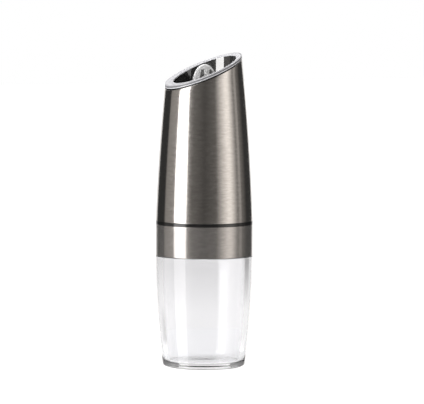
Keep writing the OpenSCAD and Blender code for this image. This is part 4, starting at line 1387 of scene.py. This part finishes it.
# %% Cells
CELL_R = 5.25
CELL_LONG = 44.5
CELL_SHOULDER = 0.6
NUB_R = 1.9
NUB_TALL = 0.8
PLATE_R = 4.4
PLATE_SINK = 0.25
PLATE_SLOPE = 0.4
WRAP_LIFT = 0.05
WRAP_LAP_FOOT = 0.3
WRAP_LAP_TOP = 0.2
CELL_TOP = CELL_LONG - NUB_TALL
PLATE_TOP = CELL_TOP - PLATE_SINK
cell = closed_disc([
    (0, 0, 0), (PLATE_R - PLATE_SLOPE, 0, FINE), (PLATE_R, PLATE_SINK, CRISP),
    (PLATE_R + WRAP_LAP_FOOT, WRAP_LIFT, CRISP), (CELL_R, WRAP_LIFT, ROUND),
    (CELL_R, CELL_TOP, CELL_SHOULDER), (PLATE_R + WRAP_LAP_TOP, CELL_TOP, CRISP),
    (PLATE_R, PLATE_TOP, CRISP), (NUB_R, PLATE_TOP, FINE), (NUB_R, CELL_LONG, ROUND), (0, CELL_LONG, 0),
])
reach_layer = cell.verts.layers.float.new("reach")
share_layer = cell.verts.layers.float.new("height_share")
for vertex in cell.verts:
    vertex[reach_layer] = math.hypot(vertex.co.x, vertex.co.y) / MM
    vertex[share_layer] = vertex.co.z / MM / CELL_LONG
made = stand_copies(cell, cells, narrow_up=True)
make_piece("wrapped_cells", made, cell_wrap, "cell_wrap", "head", "battery_cells")

# %% [markdown]
# ## Screws
# Four sets of pan-head screws hold the mill together. One screw of each set is made with a cross recess and
# a rolled thread, and then stood on every place where the CAD node has a screw. The wide end of the CAD
# solid is its head. The recess is cut by a single bar with a cross for its section, because two bars that
# overlap can leave stray faces.


# %% Cross-shaped bar
def cross_prism(reach, half, low, high):
    """An upright bar with a cross for its section."""
    cross = bmesh.new()
    floor = []
    for quarter in range(4):
        turn = Matrix.Rotation(math.radians(90 * quarter), 4, "Z")
        for x, y in ((reach, -half), (reach, half), (half, half)):
            floor.append(cross.verts.new(turn @ Vector((x * MM, y * MM, low * MM))))
    roof = [cross.verts.new((vertex.co.x, vertex.co.y, high * MM)) for vertex in floor]
    cross.faces.new(floor[::-1])
    cross.faces.new(roof)
    for index, vertex in enumerate(floor):
        cross.faces.new((floor[index - 1], vertex, roof[index], roof[index - 1]))
    return cross


print("cross-shaped bar ready")

# %% Screws
# Each set has its own head height and thread pitch in mm.
SCREWS = {
    "base_screws": (1.5, 0.9),
    "tie_screws": (1.5, 0.9),
    "motor_screws": (1.1, 0.7),
    "gearbox_screws": (1.1, 0.7),
}
SCREW_SIDES = 36
SCREW_STEPS = 3
TIP_LONG = 0.9
TIP_SHARE = 0.45
SHANK_END = 0.3
RIDGE_DEEP = 0.09
RUN_OUT_END = 0.5
RUN_OUT = 0.8
ROWS_PER_TURN = 6
LEAST_ROWS = 8
HEAD_EDGE = 0.15
HEAD_SIDE = 0.5
HEAD_TOP = 0.75
HEAD_CROWN = 0.4
RECESS_REACH = 0.575
RECESS_HALF = 0.13
RECESS_DEEP = 0.55


def screw_model(length, thread_r, head_r, head_tall, pitch):
    """A screw with its tip at height 0 and its head on top."""
    shank = length - head_tall
    rows = spaced(TIP_LONG, shank - SHANK_END, max(LEAST_ROWS, round(shank / pitch * ROWS_PER_TURN)))

    def line(angle):
        ridges = []
        for z in rows:
            groove = 1 - math.cos(2 * math.pi * z / pitch - angle)
            fade = smooth((shank - RUN_OUT_END - z) / RUN_OUT)
            ridges.append((thread_r - RIDGE_DEEP * groove * fade, z, 0))
        return rounded([
            (0, 0, 0), (thread_r * TIP_SHARE, 0, CRISP), *ridges, (thread_r, shank, 0),
            (head_r, shank, HEAD_EDGE), (head_r, shank + head_tall * HEAD_SIDE, SOFT),
            (head_r * HEAD_TOP, length, HEAD_CROWN), (0, length, 0),
        ], SCREW_STEPS)

    body = turned(line, SCREW_SIDES, closed=False)
    deep = head_tall * RECESS_DEEP
    recess = cross_prism(head_r * RECESS_REACH, head_r * RECESS_HALF, length - deep, length + deep)
    return combined(loose("screw_body", body), ("DIFFERENCE", loose("recess", recess)))


for name, (head_tall, pitch) in SCREWS.items():
    spots = uprights(name)
    radii = sorted((spots[0].low_r, spots[0].high_r))
    model = screw_model(spots[0].high - spots[0].low, *radii, head_tall, pitch)
    made = stand_copies(model, spots, narrow_up=False)
    make_piece("threaded_" + name, made, plated_steel, "steel_parts", "head", name, sharp=35)

# %% [markdown]
# ## Spring, seal and wires
# The spring keeps the cone up against the knob: in the mill one end follows the spindle and the other the
# cone, and the wire between them closes up. Here the coil is made between two fixed heights and rides on
# no body. The seal and the wires are soft: the seal gets well rounded edges, and the wires get bared, tinned
# ends.

# %% Spring
SPRING_R = 4.2
SPRING_WIRE_R = 0.35
SPRING_TURNS = 3.5
SPRING_LOW = 161.3
SPRING_HIGH = 166.7
SPRING_STEPS = 168
SPRING_SIDES = 14
builder = bmesh.new()
rings = []
for step in range(SPRING_STEPS + 1):
    share = step / SPRING_STEPS
    turn = 2 * math.pi * SPRING_TURNS * share
    rise = SPRING_LOW + SPRING_WIRE_R + (SPRING_HIGH - SPRING_LOW - 2 * SPRING_WIRE_R) * share
    ring = []
    for side in range(SPRING_SIDES):
        around = 2 * math.pi * side / SPRING_SIDES
        radius = SPRING_R + SPRING_WIRE_R * math.cos(around)
        height = rise + SPRING_WIRE_R * math.sin(around)
        point = (radius * math.cos(turn) * MM, radius * math.sin(turn) * MM, height * MM)
        ring.append(builder.verts.new(point))
    rings.append(ring)
for ring, following in zip(rings, rings[1:]):
    for j in range(SPRING_SIDES):
        k = (j + 1) % SPRING_SIDES
        builder.faces.new((ring[j], following[j], following[k], ring[k]))
builder.faces.new(rings[0])
builder.faces.new(rings[-1])
spring = make_piece("coil_spring", builder, plated_steel, "steel_parts", None, "burr_spring")
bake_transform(spring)

# %% Seal
SEAL_R = 28.45
SEAL_WIDE = 2.6
SEAL_LOW = 82.4
SEAL_HIGH = 83.9
SEAL_SIDES = 160
seal_line = rounded([
    (SEAL_R, SEAL_LOW, ROUND), (SEAL_R, SEAL_HIGH, ROUND),
    (SEAL_R - SEAL_WIDE, SEAL_HIGH, ROUND), (SEAL_R - SEAL_WIDE, SEAL_LOW, ROUND),
])
seal = turned(lambda angle: seal_line, SEAL_SIDES)
make_piece("soft_seal", seal, seal_rubber, "seal_rubber", "seal", "jar_gasket")

# %% Wires
WIRES = {"motor_leads": "motor_wires", "led_leads": "light_wires"}
WIRE_SIDES = 24
SLEEVE_ROWS = 8
SLEEVE_ROUND = 0.12
BARE_R = 0.28
BARE_LONG = 0.9
BARE_SLACK = 0.05


def lead_line(lead):
    """The outline of one wire: a sleeve with a thinner bare end on both sides."""
    sleeve_low = lead.low + BARE_LONG
    sleeve_high = lead.high - BARE_LONG
    sleeve = [(lead.low_r, z, 0) for z in spaced(sleeve_low, sleeve_high, SLEEVE_ROWS)[1:-1]]
    return rounded([
        (0, lead.low, 0), (BARE_R, lead.low, CRISP), (BARE_R, sleeve_low, 0),
        (lead.low_r, sleeve_low, SLEEVE_ROUND), *sleeve, (lead.low_r, sleeve_high, SLEEVE_ROUND),
        (BARE_R, sleeve_high, 0), (BARE_R, lead.high, CRISP), (0, lead.high, 0),
    ])


for name, piece in WIRES.items():
    leads = uprights(name)
    builder = bmesh.new()
    for lead in leads:
        line = lead_line(lead)
        carry_round(builder, lambda angle: line, WIRE_SIDES, closed=False, centre=(lead.x, lead.y))
    sleeve_low = leads[0].low + BARE_LONG - BARE_SLACK
    sleeve_high = leads[0].high - BARE_LONG + BARE_SLACK
    bare_layer = builder.verts.layers.float.new("bare")
    for vertex in builder.verts:
        vertex[bare_layer] = float(not sleeve_low <= vertex.co.z / MM <= sleeve_high)
    make_piece(piece, builder, wire_cover, "wire_red", "head", name)
